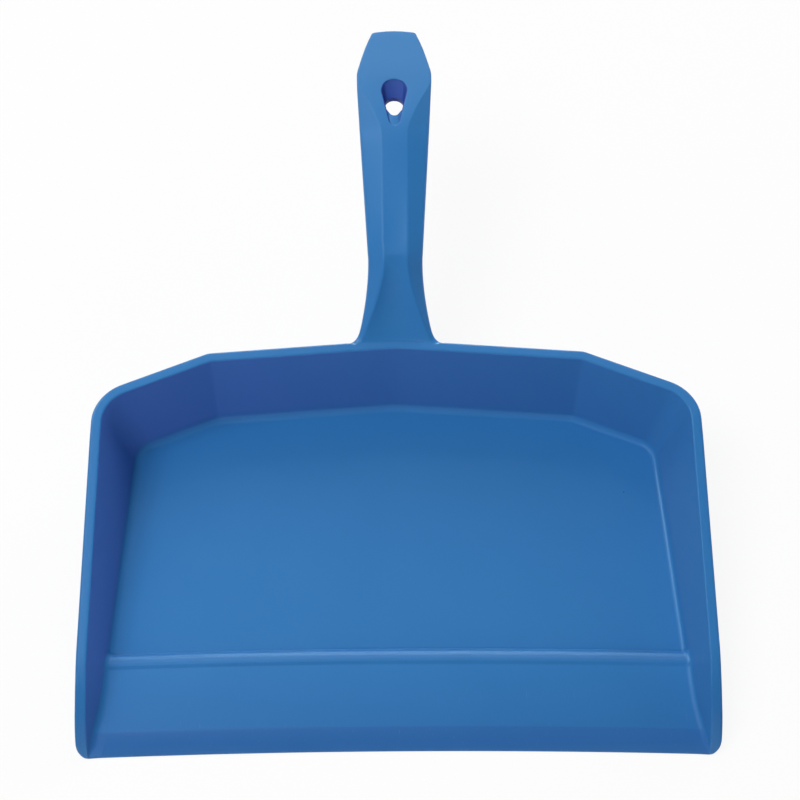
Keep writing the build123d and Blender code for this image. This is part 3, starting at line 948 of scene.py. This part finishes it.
# %% Sweeping edge, ramp and ridge
SLACK = 1e-6
RAMP_SKIN = 3.0
RIDGE_HOLLOW = ((47.5, 0.0), (42.0, 3.3))


def top_points(start, end):
    return [(s, floor_height(s)) for s in strip_setbacks if start - SLACK <= s <= end + SLACK]


strip_outlines = {
    "sweeping_edge": [*top_points(0, EDGE_SEAM), (EDGE_SEAM, 0.0), (0.0, 0.0)],
    "entry_ramp": [
        *top_points(EDGE_SEAM, RAMP_SEAM),
        (RAMP_SEAM, floor_height(RAMP_SEAM) - RAMP_SKIN),
        (EDGE_SEAM, floor_height(EDGE_SEAM) - RAMP_SKIN),
    ],
    "stop_ridge": [
        *top_points(RAMP_SEAM, RIDGE_SEAM),
        (RIDGE_SEAM, 0.0),
        *RIDGE_HOLLOW,
        (RAMP_SEAM, floor_height(RAMP_SEAM) - RAMP_SKIN),
    ],
}
foot_flare = FLARE_RADIUS + FOOT_INSET
strip_sizes = {
    "Material": polypropylene,
    "Stations": STRIP_STATIONS,
    "Arc Radius": LIP_ARC_RADIUS,
    "Arc Sag": LIP_SAG,
    "Half Width": side_x(FLARE_START, -FOOT_INSET) + FLARE_START * math.tan(SIDE_TAPER),
    "Slope": math.tan(SIDE_TAPER),
    "Flare Start": FLARE_START,
    "Flare Centre X": side_x(FLARE_START, -FOOT_INSET) + foot_flare * math.cos(SIDE_TAPER),
    "Flare Centre Y": FLARE_START + foot_flare * math.sin(SIDE_TAPER),
    "Flare Radius": foot_flare,
}


def swept_strip(node, outline):
    """Runs the strip tree on a closed outline and keeps the result as a plain mesh."""
    curve = bpy.data.curves.new(f"{node}_outline", "CURVE")
    spline = curve.splines.new("POLY")
    spline.points.add(len(outline) - 1)
    for point, (setback, height) in zip(spline.points, outline):
        point.co = (setback, height, 0, 1)
    spline.use_cyclic_u = True
    maker = bpy.data.objects.new(f"{node}_outline", curve)
    bpy.context.scene.collection.objects.link(maker)
    sweep = maker.modifiers.new("sweep", "NODES")
    sweep.node_group = strip_group
    for item in strip_group.interface.items_tree:
        if item.in_out == "INPUT" and item.name in strip_sizes:
            sweep[item.identifier] = strip_sizes[item.name]
    depsgraph = bpy.context.evaluated_depsgraph_get()
    mesh = bpy.data.meshes.new_from_object(maker.evaluated_get(depsgraph))
    maker.modifiers.remove(sweep)
    bpy.data.objects.remove(maker)
    bpy.data.curves.remove(curve)
    points = np.array([vertex.co for vertex in mesh.vertices]).reshape(-1, 3)
    faces = [tuple(face.vertices) for face in mesh.polygons]
    bpy.data.meshes.remove(mesh)
    return points, faces


for node, outline in strip_outlines.items():
    keep_closed(node, [swept_strip(node, outline)], [])

# %% [markdown]
# The handle is a faceted bar: a flat facet on top, a bevel on each side of it,
# upright sides, and the same below. It rises steeply from the rim as the neck,
# bends, runs on as the grip and ends in a wider head, whose flat top is bent
# back a little and widens in a V where the bevels run out. All of it is lofted
# through sections that share one way of counting their points, so the facet
# edges stay on the same lines from the pan to the tip. A bar bent by a Curve
# modifier would be quicker, but could not change its width, bevel and depth on
# the way. Here they come from short tables that are read with a smooth curve.

# %% Size tables of the handle
NECK_ANGLE = math.radians(42.5)
GRIP_ANGLE = math.radians(16.4)
NECK_LENGTH, GRIP_LENGTH, SHOULDER_LENGTH, HEAD_LENGTH = 42.8, 62.9, 30.0, 23.6
HANDLE_END = NECK_LENGTH + GRIP_LENGTH + SHOULDER_LENGTH + HEAD_LENGTH
BEND_SOFTNESS, EDGE_SOFTNESS, SIDE_SOFTNESS = 0.8, 2.4, 4.0
FLAT_MARGIN = 1.2
# Each pair is a distance from the root and a size there; the tilts are in degrees.
TILTS = (
    (0, -9), (8, 10), (16, 26), (24, 37), (32, 42.5), (37, 42.5),
    (49, 16.4), (136, 16.4), (159.4, 3),
)
NECK_WIDTHS = (
    (0, 39.2), (4, 36.4), (8, 34.2), (16, 30.6),
    (24, 27.9), (32, 26.3), (40, 25.95), (48, 26.5),
)
GRIP_WIDTHS = ((48, 26.5), (105.7, 33.3), (131.6, 36.0), (134.7, 36.05))
HEAD_WIDTHS = (
    (136.5, 35.8), (138.4, 34.9), (144.4, 31.5),
    (150, 28.15), (154.5, 24.9), (159.3, 21.0),
)
FACETS = (
    (0, 34.5), (4.8, 31.0), (12, 26.0), (21.6, 19.4), (31, 14.4),
    (38, 12.2), (44, 11.9), (52, 12.3), (102, 12.4), (106.4, 12.8),
    (114.1, 18.0), (120.8, 24.0), (127.4, 31.5), (132, 35.4), (160, 35.4),
)
BEVELS = (
    (0, 1.6), (12, 2.6), (28, 4.6), (40, 5.0), (105, 5.0),
    (120.8, 2.55), (127.4, 0.9), (131.6, 0.5), (160, 0.5),
)
HEAD_DROPS = (
    (0, 0), (103, 0), (106.4, 0.1), (114.2, 0.75), (121, 1.45),
    (127.9, 2.2), (132.6, 2.7), (140, 3.5), (160, 5.6),
)
DEPTHS = ((0, 26.0), (14, 20.5), (28, 17.0), (104, 17.0), (136, 15.4), (159.4, 15.4))
EDGES = ((0, 2.0), (30, 2.2), (104, 2.2), (120, 1.5), (131, 0.7), (160, 0.7))
SCOOPS = ((0, 0.6), (5, 1.4), (12, 1.9), (22, 1.8), (33, 1.15), (46, 1.05), (60, 1.05))
HOLLOWS = ((30, 0.7), (48, 0.65), (60, 0.4), (85, 0.05), (100, 0.0))
print("handle", round(HANDLE_END, 1), "mm long, measured along its top")


# %% Line of the handle
def read_table(table, at):
    """Value of a size table, on a curve that bends smoothly and never overshoots."""
    x, y = np.array(table, float).T
    step = np.diff(y) / np.diff(x)
    slope = np.concatenate([[step[0]], (step[1:] + step[:-1]) / 2, [step[-1]]])
    turns = np.sign(step[1:]) != np.sign(step[:-1])
    slope[1:-1][turns] = 0
    for k, rise in enumerate(step):
        limit = 3 * abs(rise)
        slope[k] = np.clip(slope[k], -limit, limit)
        slope[k + 1] = np.clip(slope[k + 1], -limit, limit)
    k = int(np.clip(np.searchsorted(x, at, side="right") - 1, 0, len(x) - 2))
    width = x[k + 1] - x[k]
    t = float(np.clip((at - x[k]) / width, 0, 1))
    return (
        y[k] * (1 + 2 * t) * (1 - t) ** 2
        + y[k + 1] * t * t * (3 - 2 * t)
        + width * t * (1 - t) * (slope[k] * (1 - t) - slope[k + 1] * t)
    )


def direction(angle):
    return np.array([0.0, math.cos(angle), math.sin(angle)])


root_height = RIM_HEIGHT - RIM_OUTER_RADIUS
root_lean = (root_height - FLOOR_THICKNESS) * math.tan(REAR_LEAN)
neck_root = np.array([0.0, FLOOR_DEPTH + root_lean + WALL_THICKNESS / 2, root_height])
neck_bend = neck_root + direction(NECK_ANGLE) * NECK_LENGTH
handle_tip = neck_bend + direction(GRIP_ANGLE) * (HANDLE_END - NECK_LENGTH)
print("bend at", neck_bend.round(2), "tip at", handle_tip.round(2))

# %% [markdown]
# A section of the handle has eight sides with small rounds between them. Where
# the neck's top meets the grip's, the real moulding turns in a tight bend with a
# shallow scoop before it. A bevel on that bend would be even all across, so the
# two planes are joined by a soft maximum instead, tight in the middle of the
# facet and looser towards its edges.

# %% One section of the handle
SIDES = 8
ROUND_STEPS = 6
ROUND_ROOM = 0.42
EDGE_SHARES = (0.05, 0.3, 0.5, 0.7, 0.95)
SIDE_POINTS = ROUND_STEPS + 1 + len(EDGE_SHARES)
TOP_TURNS = 12


def handle_width(at):
    if at < GRIP_WIDTHS[0][0]:
        return read_table(NECK_WIDTHS, at)
    return float(np.interp(at, *np.array(GRIP_WIDTHS + HEAD_WIDTHS).T))


def top_depth(origin, down, scoop, hollow, softness):
    """How far below a section's origin the top lies: neck and grip planes, softly joined."""
    start = origin - neck_bend
    neck_up = np.array([0.0, -math.sin(NECK_ANGLE), math.cos(NECK_ANGLE)])
    grip_up = np.array([0.0, -math.sin(GRIP_ANGLE), math.cos(GRIP_ANGLE)])
    depth = 0.0
    for _ in range(TOP_TURNS):
        neck = (start + down * depth) @ neck_up + scoop
        grip = (start + down * depth) @ grip_up + hollow
        gap = math.hypot(neck - grip, softness)
        depth += (neck + grip + gap) / 2
    return depth


def handle_section(at):
    """Loop of points round the handle at a distance from its root."""
    tilt = math.radians(read_table(TILTS, at))
    run, angle = (at, NECK_ANGLE) if at < NECK_LENGTH else (at - NECK_LENGTH, GRIP_ANGLE)
    origin = (neck_root if at < NECK_LENGTH else neck_bend) + direction(angle) * run
    down = np.array([0.0, math.sin(tilt), -math.cos(tilt)])
    width = handle_width(at)
    tables = (FACETS, BEVELS, HEAD_DROPS, DEPTHS, EDGES, SCOOPS, HOLLOWS)
    facet, bevel, drop, depth, edge, scoop, hollow = (read_table(t, at) for t in tables)
    facet = min(facet, width - FLAT_MARGIN)

    def top(x):
        share = min(1.0, (2 * x / facet) ** 2)
        softness = BEND_SOFTNESS + (EDGE_SOFTNESS - BEND_SOFTNESS) * share
        return drop + top_depth(origin, down, scoop * (1 - share), hollow * (1 - share), softness)

    shoulder = top(facet / 2)
    side = drop + top_depth(origin, down, 0, 0, SIDE_SOFTNESS) + bevel
    corners = [
        (-facet / 2, shoulder),
        (facet / 2, shoulder),
        (width / 2, side),
        (width / 2, depth - bevel),
        (facet / 2, depth),
        (-facet / 2, depth),
        (-width / 2, depth - bevel),
        (-width / 2, side),
    ]
    corners = [np.array(c) for c in corners]
    rounds = []
    for k, here in enumerate(corners):
        before, after = corners[k - 1], corners[(k + 1) % SIDES]
        a, b = unit(before - here), unit(after - here)
        half = math.acos(float(np.clip(a @ b, -1, 1))) / 2
        room = ROUND_ROOM * min(np.linalg.norm(before - here), np.linalg.norm(after - here))
        radius = min(edge, room * math.tan(half))
        rounds.append(rounded_corner(here, before, after, radius, ROUND_STEPS))
    loop = []
    for k in range(SIDES):
        start, end = rounds[k][-1], rounds[(k + 1) % SIDES][0]
        loop += rounds[k] + [start + (end - start) * share for share in EDGE_SHARES]
    for k in range(ROUND_STEPS + 1, SIDE_POINTS):
        loop[k] = np.array([loop[k][0], top(loop[k][0])])
    return np.array([origin + down * d + (x, 0, 0) for x, d in loop])


print("a handle section has", SIDES * SIDE_POINTS, "points")
print("width at the bend", round(handle_width(NECK_LENGTH), 1), "mm")

# %% [markdown]
# Where the neck meets the rim there is a soft blend of a few millimetres. A
# boolean union with a bevel could make it, but not with a reach that differs on
# top, at the sides and below. So each line along the neck is carried on to the
# wall, and a curve with its control point at that meeting runs from the neck to
# a landing line on the wall's skin. The landing line is found on the unrolled
# skin (across, and along the section from the rim downwards), so it wraps over
# the rim edge without stretching.

# %% Landing of the neck on the middle panel
BLEND_FROM = 9.0
BLEND_TOP, BLEND_SIDE, BLEND_UNDER = 0.7, 5.8, 5.5
BLEND_STEPS, PANEL_RINGS = 7, 6
LOOP_STEP = 1.0
SEARCH_LENGTH, SEARCH_HALVINGS, SEARCH_POINTS = 60.0, 40, 400
NEAREST_RIM = 0.25
panel_skin = centre_sections[:, SKIN_FROM : SKIN_TO + 1]
middle_line = panel_skin[len(centre_x) // 2]
unrolled = np.concatenate([[0.0], np.cumsum(np.linalg.norm(np.diff(middle_line, axis=0), axis=1))])


def on_panel(x, along):
    """Point of the panel's skin at a distance across and a length down its section."""
    column = np.interp(x, centre_x, np.arange(len(centre_x)))
    row = np.interp(along, unrolled, np.arange(len(unrolled)))
    c, r = min(int(column), len(centre_x) - 2), min(int(row), len(unrolled) - 2)
    u, v = column - c, row - r
    low = panel_skin[c, r] * (1 - u) + panel_skin[c + 1, r] * u
    high = panel_skin[c, r + 1] * (1 - u) + panel_skin[c + 1, r + 1] * u
    return low * (1 - v) + high * v


def outside_panel(point):
    """Distance outside the wall: above the rim or behind the outer face."""
    x, y, z = point
    back = offsets(z, WALL_THICKNESS)[0]
    return max(z - RIM_HEIGHT, y - behind(x, back)[1])


def meets_panel(start, step):
    """Where a line along the neck meets the wall."""
    near, far = 0.0, SEARCH_LENGTH
    for _ in range(SEARCH_HALVINGS):
        middle = (near + far) / 2
        near, far = (middle, far) if outside_panel(start + step * middle) > 0 else (near, middle)
    return start + step * near


def unrolled_place(point):
    """Distance across and along the section of the skin point nearest to a meeting point."""
    x = float(np.clip(point[0], centre_x[0], centre_x[-1]))
    trial = np.linspace(0, unrolled[-1], SEARCH_POINTS)
    away = [np.linalg.norm(on_panel(x, a)[1:] - point[1:]) for a in trial]
    return np.array([x, trial[int(np.argmin(away))]])


first_loop, next_loop = handle_section(BLEND_FROM), handle_section(BLEND_FROM + LOOP_STEP)
meetings = np.array([meets_panel(p, unit(p - q)) for p, q in zip(first_loop, next_loop)])
flat_loop = np.array([unrolled_place(p) for p in meetings])
tangent = np.roll(flat_loop, -2, axis=0) - np.roll(flat_loop, 2, axis=0)
outward = np.array([unit(np.array([t[1], -t[0]])) for t in tangent])
reach = [
    BLEND_SIDE * n[0] ** 2 + (BLEND_TOP if n[1] < 0 else BLEND_UNDER) * n[1] ** 2 for n in outward
]
landing_flat = flat_loop + outward * np.array(reach)[:, None]
landing_flat[:, 1] = np.clip(landing_flat[:, 1], NEAREST_RIM, None)
landing = np.array([on_panel(*place) for place in landing_flat])
print("neck lands", landing_flat.min(axis=0).round(2), "to", landing_flat.max(axis=0).round(2))

# %% [markdown]
# The middle panel and the neck. The panel's skin behind the rim is a net of
# rings from its frame to the landing line, and the neck's loft starts on that
# same line, so the two share their points and no step shows. The neck's
# stations lie closest together in the bend, where the facets turn.

# %% Middle panel and neck
NECK_SEAM, GRIP_SEAM = 50.0, 101.0
rise_stations = [10.5, 12.5, 14.5, 17, 20, 23, 26, 29, 32, 34.5, 36.5]
bend_stations = np.arange(37.5, 48.1, 0.75)
neck_stations = [*rise_stations, *bend_stations, NECK_SEAM]
top_row = [(x, 0.0) for x in centre_x]
right_column = [(PANEL_EDGE, a) for a in unrolled]
under_row = [(x, unrolled[-1]) for x in centre_x[::-1]]
left_column = [(-PANEL_EDGE, a) for a in unrolled[::-1]]
frame_flat = np.array(top_row[:-1] + right_column[:-1] + under_row[:-1] + left_column[:-1])
rings = [
    [on_panel(*place) for place in frame_flat + (landing_flat - frame_flat) * k / PANEL_RINGS]
    for k in range(PANEL_RINGS + 1)
]
keep_closed(
    "rear_centre_panel",
    [
        grid(np.array(rings), wrap=True),
        grid(centre_sections[:, : SKIN_FROM + 1]),
        grid(centre_sections[:, SKIN_TO:]),
    ],
    [
        fan(landing),
        grid(centre_sections[:, [-1, 0]]),
        polygon(centre_sections[0]),
        polygon(centre_sections[-1]),
    ],
)
blend = [
    landing * (1 - t) ** 2 + meetings * 2 * t * (1 - t) + first_loop * t * t
    for t in np.linspace(0, 1, BLEND_STEPS + 1)
]
neck_loops = np.array(blend + [handle_section(at) for at in neck_stations])
keep_closed("handle_neck", [grid(neck_loops, wrap=True)], [fan(landing), polygon(neck_loops[-1])])

# %% [markdown]
# The grip is the plain run between the bend and the head, a little wider towards
# the head so that it fills the hand. Two sections would do for a straight bar,
# but with a few more the hollow on top can fade out smoothly.

# %% Grip
grip_stations = [NECK_SEAM, 52, 56, 62, 70, 78, 86, 93, 98, GRIP_SEAM]
grip_loops = np.array([handle_section(at) for at in grip_stations])
keep_closed(
    "handle_grip",
    [grid(grip_loops, wrap=True)],
    [polygon(grip_loops[0]), polygon(grip_loops[-1])],
)

# %% [markdown]
# The head is flat on top, with a drop-shaped hole to hang the pan by. The hole
# is a funnel: a drop in the top facet, a smaller drop in the throat, whose tail
# is lifted, and a round mouth below. Its rims are small rounds too. A boolean
# cut would be quick, but leaves long thin faces that shade badly. So the hole is
# a stack of loops, all counted as the border of the facet is.

# %% Loops of the hanging hole
HOLE_ROWS = 18
HOLE_FROM, HOLE_TO = 106.4, 135.0
DROP_MIDDLE, DROP_RADIUS = HANDLE_END - 32.4, 5.9
TAIL_MIDDLE, TAIL_RADIUS = HANDLE_END - 48.2, 2.3
THROAT_MIDDLE = np.array([0.0, 132.403 + MIDDLE, 89.474])
THROAT_TOP, THROAT_BOTTOM = 2.0, -0.5
THROAT_DROP = (0.2, 4.6, -4.8, 2.2)
TAIL_LIFTS = ((-7.0, 2.0), (0.0, 0.0))
BACK_RADIUS, BACK_FORWARD = 6.2, -1.8
HOLE_EDGE, HOLE_EDGE_STEPS = 0.8, 4
ANGLE_HIGH, ANGLE_LOW = math.radians(125), math.radians(-55)


def on_head(x, at, depth):
    """Point at a depth below the grip's top plane, carried on through the head."""
    down = np.array([0.0, math.sin(GRIP_ANGLE), -math.cos(GRIP_ANGLE)])
    return neck_bend + direction(GRIP_ANGLE) * (at - NECK_LENGTH) + down * depth + (x, 0, 0)


def loop_angles():
    """Angles round a hole, counted as the facet's border is: across, down, across, up."""
    side = np.linspace(math.pi - ANGLE_HIGH, ANGLE_LOW, HOLE_ROWS + 1)
    across = np.linspace(ANGLE_HIGH, math.pi - ANGLE_HIGH, ROUND_STEPS + 1)
    under = np.linspace(ANGLE_LOW, -math.pi - ANGLE_LOW, ROUND_STEPS + 1)
    return np.concatenate([across[:-1], side[:-1], under[:-1], -math.pi - side[:0:-1]])


def drop_loop(big_at, big_radius, small_at, small_radius):
    """Drop outline: a big and a small circle joined by straight sides."""
    lean = math.asin((big_radius - small_radius) / (big_at - small_at))
    places = []
    for angle in loop_angles():
        on_big = math.sin(angle) >= -math.sin(lean)
        at, radius = (big_at, big_radius) if on_big else (small_at, small_radius)
        places.append((radius * math.cos(angle), at + radius * math.sin(angle)))
    return np.array(places)


def mouth_loop(grow):
    return drop_loop(DROP_MIDDLE, DROP_RADIUS + grow, TAIL_MIDDLE, TAIL_RADIUS + grow)


def circle_loop(radius):
    angles = loop_angles()
    return radius * np.stack([np.cos(angles), np.sin(angles)], axis=1)


def throat_loop(lift):
    places = drop_loop(*THROAT_DROP)
    return [THROAT_MIDDLE + (x, y, lift + read_table(TAIL_LIFTS, y)) for x, y in places]


along_grip = (THROAT_MIDDLE - neck_bend) @ direction(GRIP_ANGLE)
back_at = NECK_LENGTH + along_grip - BACK_FORWARD
print("hole: drop", mouth_loop(0).min(axis=0).round(2), mouth_loop(0).max(axis=0).round(2))

# %% [markdown]
# The head itself widens, then tapers to a tip that is bowed a little. It is the
# same loft as the grip, with the faces left out where the hole goes through, and
# the hole's loops fill the gap from the top facet to the underside. The facets
# round the hole are nearly flat, so their faces simply run from the border to
# the rim of the hole. The last loops shrink to round the tip's edge.

# %% Loops of the head
END_ROUND, END_STEPS = 0.9, 4
CROWN, CROWN_FROM = 0.9, 142.0
TIP_RINGS = (0.6, 0.2)


def crowned(loop, share):
    """Pushes the middle of a loop out along the handle, so that the tip is slightly bowed."""
    half = np.abs(loop[:, 0]).max()
    push = CROWN * share * (1 - (loop[:, 0] / half) ** 2)
    return loop + push[:, None] * direction(GRIP_ANGLE)


def shrunk(loop, inset):
    middle = (loop.max(axis=0) + loop.min(axis=0)) / 2
    size = (loop.max(axis=0) - loop.min(axis=0)) / 2
    tall = math.hypot(size[1], size[2])
    return middle + (loop - middle) * (1 - inset / size[0], 1 - inset / tall, 1 - inset / tall)


hole_stations = list(np.linspace(HOLE_FROM, HOLE_TO, HOLE_ROWS + 1))
taper_stations = [136, 137, 138, 140.6, 144.4, 150, 154.5, HANDLE_END - END_ROUND]
head_stations = [GRIP_SEAM, 104, *hole_stations, *taper_stations]
crown_shares = np.interp(head_stations, (CROWN_FROM, HANDLE_END), (0, 1))
head_loops = [crowned(handle_section(at), s) for at, s in zip(head_stations, crown_shares)]
for k in range(1, END_STEPS + 1):
    bow = math.pi / 2 * k / END_STEPS
    at = HANDLE_END - END_ROUND * (1 - math.sin(bow))
    head_loops.append(crowned(shrunk(handle_section(at), END_ROUND * (1 - math.cos(bow))), 1.0))
head_loops = np.array(head_loops)
for inset in TIP_RINGS:
    middle = head_loops[-1].mean(axis=0)
    head_loops = np.concatenate([head_loops, [middle + (head_loops[-1] - middle) * inset]])
print("head:", len(head_loops), "loops of", head_loops.shape[1], "points")

# %% Head with its hole
first_row = head_stations.index(hole_stations[0])
last_row = first_row + HOLE_ROWS
top_from, top_to = ROUND_STEPS, 2 * ROUND_STEPS
under_from = SIDES // 2 * SIDE_POINTS + ROUND_STEPS
under_to = under_from + ROUND_STEPS


def border(left, right):
    """Loop of points round the facet that holds the hole, from column to column."""
    step = 1 if right > left else -1
    columns = list(range(left, right + step, step))
    rows = range(first_row, last_row + 1)
    return np.concatenate(
        [
            head_loops[last_row, columns[:-1]],
            [head_loops[r, right] for r in reversed(rows)][:-1],
            head_loops[first_row, columns[:0:-1]],
            [head_loops[r, left] for r in rows][:-1],
        ]
    )


rows, columns = head_loops.shape[:2]
kept = [
    face
    for face in quads(rows, columns, wrap=True)
    if not (
        first_row <= face[0] // columns < last_row
        and (top_from <= face[0] % columns < top_to or under_from <= face[0] % columns < under_to)
    )
]
bows = [math.pi / 2 * k / HOLE_EDGE_STEPS for k in range(HOLE_EDGE_STEPS + 1)]
mouth = [
    [
        on_head(x, at, read_table(HEAD_DROPS, at) + HOLE_EDGE * (1 - math.cos(bow)))
        for x, at in mouth_loop(HOLE_EDGE * (1 - math.sin(bow)))
    ]
    for bow in bows
]
thick = read_table(DEPTHS, back_at)
back_mouth = []
for bow in bows[::-1]:
    ring = circle_loop(BACK_RADIUS + HOLE_EDGE * (1 - math.sin(bow)))
    depth = thick - HOLE_EDGE * (1 - math.cos(bow))
    back_mouth.append([on_head(x, back_at + t, depth) for x, t in ring])
throat = [throat_loop(THROAT_TOP), throat_loop(THROAT_BOTTOM)]
top_border, under_border = border(top_from, top_to), border(under_to, under_from)
funnel = np.array([top_border, *mouth, *throat, *back_mouth, under_border])
tip_cap = polygon(head_loops[-1])
keep_closed(
    "handle_head",
    [(head_loops.reshape(-1, 3), kept), grid(funnel, wrap=True), tip_cap],
    [polygon(head_loops[0])],
)

# %% [markdown]
# Every piece now takes the polypropylene, rides on the one rigid body, and
# stands for the CAD node of its zone. Some faces take a painted shade: the
# upright inner faces of the walls, the top of the lip's bevel, and the inside of
# the hanging hole. The pieces could be cut apart for that, but it is simpler to
# choose faces by where they lie and how they are turned, and the rim on top
# keeps the satin.

# %% Finish, ride and replace
UPRIGHT, STEEP = 0.5, 0.85
PAN_Y = -60 * MM
BORE_BOX = 8 * MM, 11 * MM
WALLS = ("_side_wall", "_rear_corner", "_rear_panel", "_centre_panel")
BEVELLED = ("_side_wall", "sweeping_edge")
hole_y = (THROAT_MIDDLE[1] - MIDDLE) * MM


def faces_pan(face):
    """Whether a wall's face is upright and turned to the inside of the pan."""
    x, y, _ = face.center
    return abs(face.normal.z) < UPRIGHT and x * face.normal.x + (y - PAN_Y) * face.normal.y < 0


def lines_bore(face):
    """Whether a face of the head is steep and near the hanging hole."""
    x, y, _ = face.center
    return abs(face.normal.z) < STEEP and abs(x) < BORE_BOX[0] and abs(y - hole_y) < BORE_BOX[1]


def on_bevel(face):
    """Whether a face is on top of the lip's bevel, inside the walls."""
    x, y = face.center.x / MM, face.center.y / MM + MIDDLE
    setback = math.hypot(x, y - LIP_SAG + LIP_ARC_RADIUS) - LIP_ARC_RADIUS
    return face.normal.z > UPRIGHT and setback < BEVEL_DEPTH and abs(x) < side_x(y, 0)


# Faces that take a painted shade: the material, the endings of the node names it goes on, and the
# test a face must pass.
SHADES = (
    (wall_shade_polypropylene, WALLS, faces_pan),
    (bevel_shade_polypropylene, BEVELLED, on_bevel),
    (hole_shade_polypropylene, ("handle_head",), lines_bore),
)
for node, piece in pieces.items():
    shades = piece.data.materials
    shades.clear()
    shades.append(polypropylene)
    for material, endings, takes in SHADES:
        if node.endswith(endings):
            shades.append(material)
            for face in filter(takes, piece.data.polygons):
                face.material_index = len(shades) - 1
    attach(piece, "root")
    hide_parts(node)
print(len(pieces), "pieces stand for", len(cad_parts), "nodes")

# %% [markdown]
# The pan lies on a wide sheet of pale paper. It has to look white to the camera
# and in reflections, and still keep the pan's shadow. More light would whiten it
# too, but would bleach the blue, so for those rays a white glow is mixed into
# the matt paper.

# %% Studio floor
FLOOR_SIDE = 16.0
PAPER_GLOW = 0.9
PAPER_FIBRE_MM = 3.0
PAPER_DARK, PAPER_PALE = 0.9, 0.94
WHITE = linear("ffffff")
half = FLOOR_SIDE / 2
sheet = bpy.data.meshes.new("studio_floor")
sheet.from_pydata(
    [(-half, -half, 0), (half, -half, 0), (half, half, 0), (-half, half, 0)], [], [(0, 1, 2, 3)]
)
paper = bpy.data.materials.new("paper_matt_white_sweep")
paper.use_nodes = True
paper.node_tree.nodes.clear()
add_nodes(
    paper.node_tree,
    ("ray", "ShaderNodeLightPath", {}, {}),
    ("seen", MATH, LARGEST, {0: "ray.Is Camera Ray", 1: "ray.Is Glossy Ray"}),
    ("seen_all", MATH, LARGEST, {0: "seen", 1: "ray.Is Transmission Ray"}),
    ("look", MATH, MULTIPLY, {0: "seen_all", 1: PAPER_GLOW}),
    ("place", "ShaderNodeTexCoord", {}, {}),
    ("fibre", NOISE, {}, pattern(PAPER_FIBRE_MM)),
    ("tone", SCALED, {}, {"Value": "fibre.Fac", "To Min": PAPER_DARK, "To Max": PAPER_PALE}),
    ("sheet", "ShaderNodeBsdfDiffuse", {}, {"Color": "tone.Result"}),
    ("glow", "ShaderNodeEmission", {}, {"Color": WHITE, "Strength": 1.0}),
    ("blend", "ShaderNodeMixShader", {}, {0: "look", 1: "sheet", 2: "glow"}),
    ("out", "ShaderNodeOutputMaterial", {}, {"Surface": "blend"}),
)
sheet.materials.append(paper)
floor = bpy.data.objects.new("studio_floor", sheet)
bpy.context.scene.collection.objects.link(floor)
print("paper floor", FLOOR_SIDE, "m wide")

# %% [markdown]
# Round it all is a surround, white below the horizon, where the paper would go
# on, and dim above it. A bright sky all round is the easy way to soft light, but
# it lays an even haze over a satin skin and takes the depth out of the walls.

# %% Surround
SURROUND = 0.08
HORIZON_FROM, HORIZON_TO = -0.02, 0.06
level_inputs = {
    "Value": "split.Z",
    "From Min": HORIZON_FROM,
    "From Max": HORIZON_TO,
    "To Min": 1.0,
    "To Max": SURROUND,
}
world = bpy.data.worlds.new("studio_surround")
world.use_nodes = True
world.node_tree.nodes.clear()
add_nodes(
    world.node_tree,
    ("way", "ShaderNodeTexCoord", {}, {}),
    ("split", "ShaderNodeSeparateXYZ", {}, {"Vector": "way.Generated"}),
    ("level", SCALED, {}, level_inputs),
    ("sky", "ShaderNodeBackground", {}, {"Color": WHITE, "Strength": "level.Result"}),
    ("out", "ShaderNodeOutputWorld", {}, {"Surface": "sky"}),
)
bpy.context.scene.world = world
print("surround", SURROUND, "above the horizon")

# %% [markdown]
# Five soft lamps light the skin, most of all from the upper left, so that the
# left wall's inner face is the darkest. They are kept out of the shine, because
# lamps as wide as these haze the flat floor. Three bluish cards do the reverse:
# they are seen only in the shine, as a photographer's reflectors are, and draw
# the pale back of the ridge and the fine lines along coves and facets. One lamp
# overhead would be simpler, but would flatten the pan.

# %% Lamps and cards
LAMP_DISTANCE = 1.7
CARD_TINT = 0.62, 0.88, 1.0
# Name, direction from +X and height in degrees, side in metres and power in watts.
LAMPS = (
    ("key", 190, 67, 0.9, 17.0),
    ("behind_right", 45, 18, 0.9, 9.5),
    ("behind", 90, 42, 0.9, 7.5),
    ("left", 180, 42, 0.9, 2.0),
    ("front", 270, 18, 0.9, 5.8),
)
CARDS = (
    ("low_card", 90, 20, 0.7, 19.0),
    ("left_card", 139, 36, 0.8, 16.0),
    ("top_card", 116, 68, 0.5, 0.6),
)
for name, azimuth, height, side, watts in LAMPS + CARDS:
    turn, rise = math.radians(azimuth), math.radians(height)
    level = math.cos(rise)
    away = Vector((level * math.cos(turn), level * math.sin(turn), math.sin(rise)))
    is_card = name.endswith("_card")
    lamp = bpy.data.lights.new(f"soft_lamp_{name}", "AREA")
    lamp.size, lamp.energy = side, watts
    if is_card:
        lamp.color = CARD_TINT
    stand = bpy.data.objects.new(lamp.name, lamp)
    stand.location = away * LAMP_DISTANCE
    stand.rotation_mode = "QUATERNION"
    stand.rotation_quaternion = away.to_track_quat("Z", "Y")
    stand.visible_camera = False
    stand.visible_diffuse, stand.visible_glossy = not is_card, is_card
    bpy.context.scene.collection.objects.link(stand)
bpy.context.scene.view_settings.view_transform = "Standard"
print(len(LAMPS), "lamps and", len(CARDS), "cards")
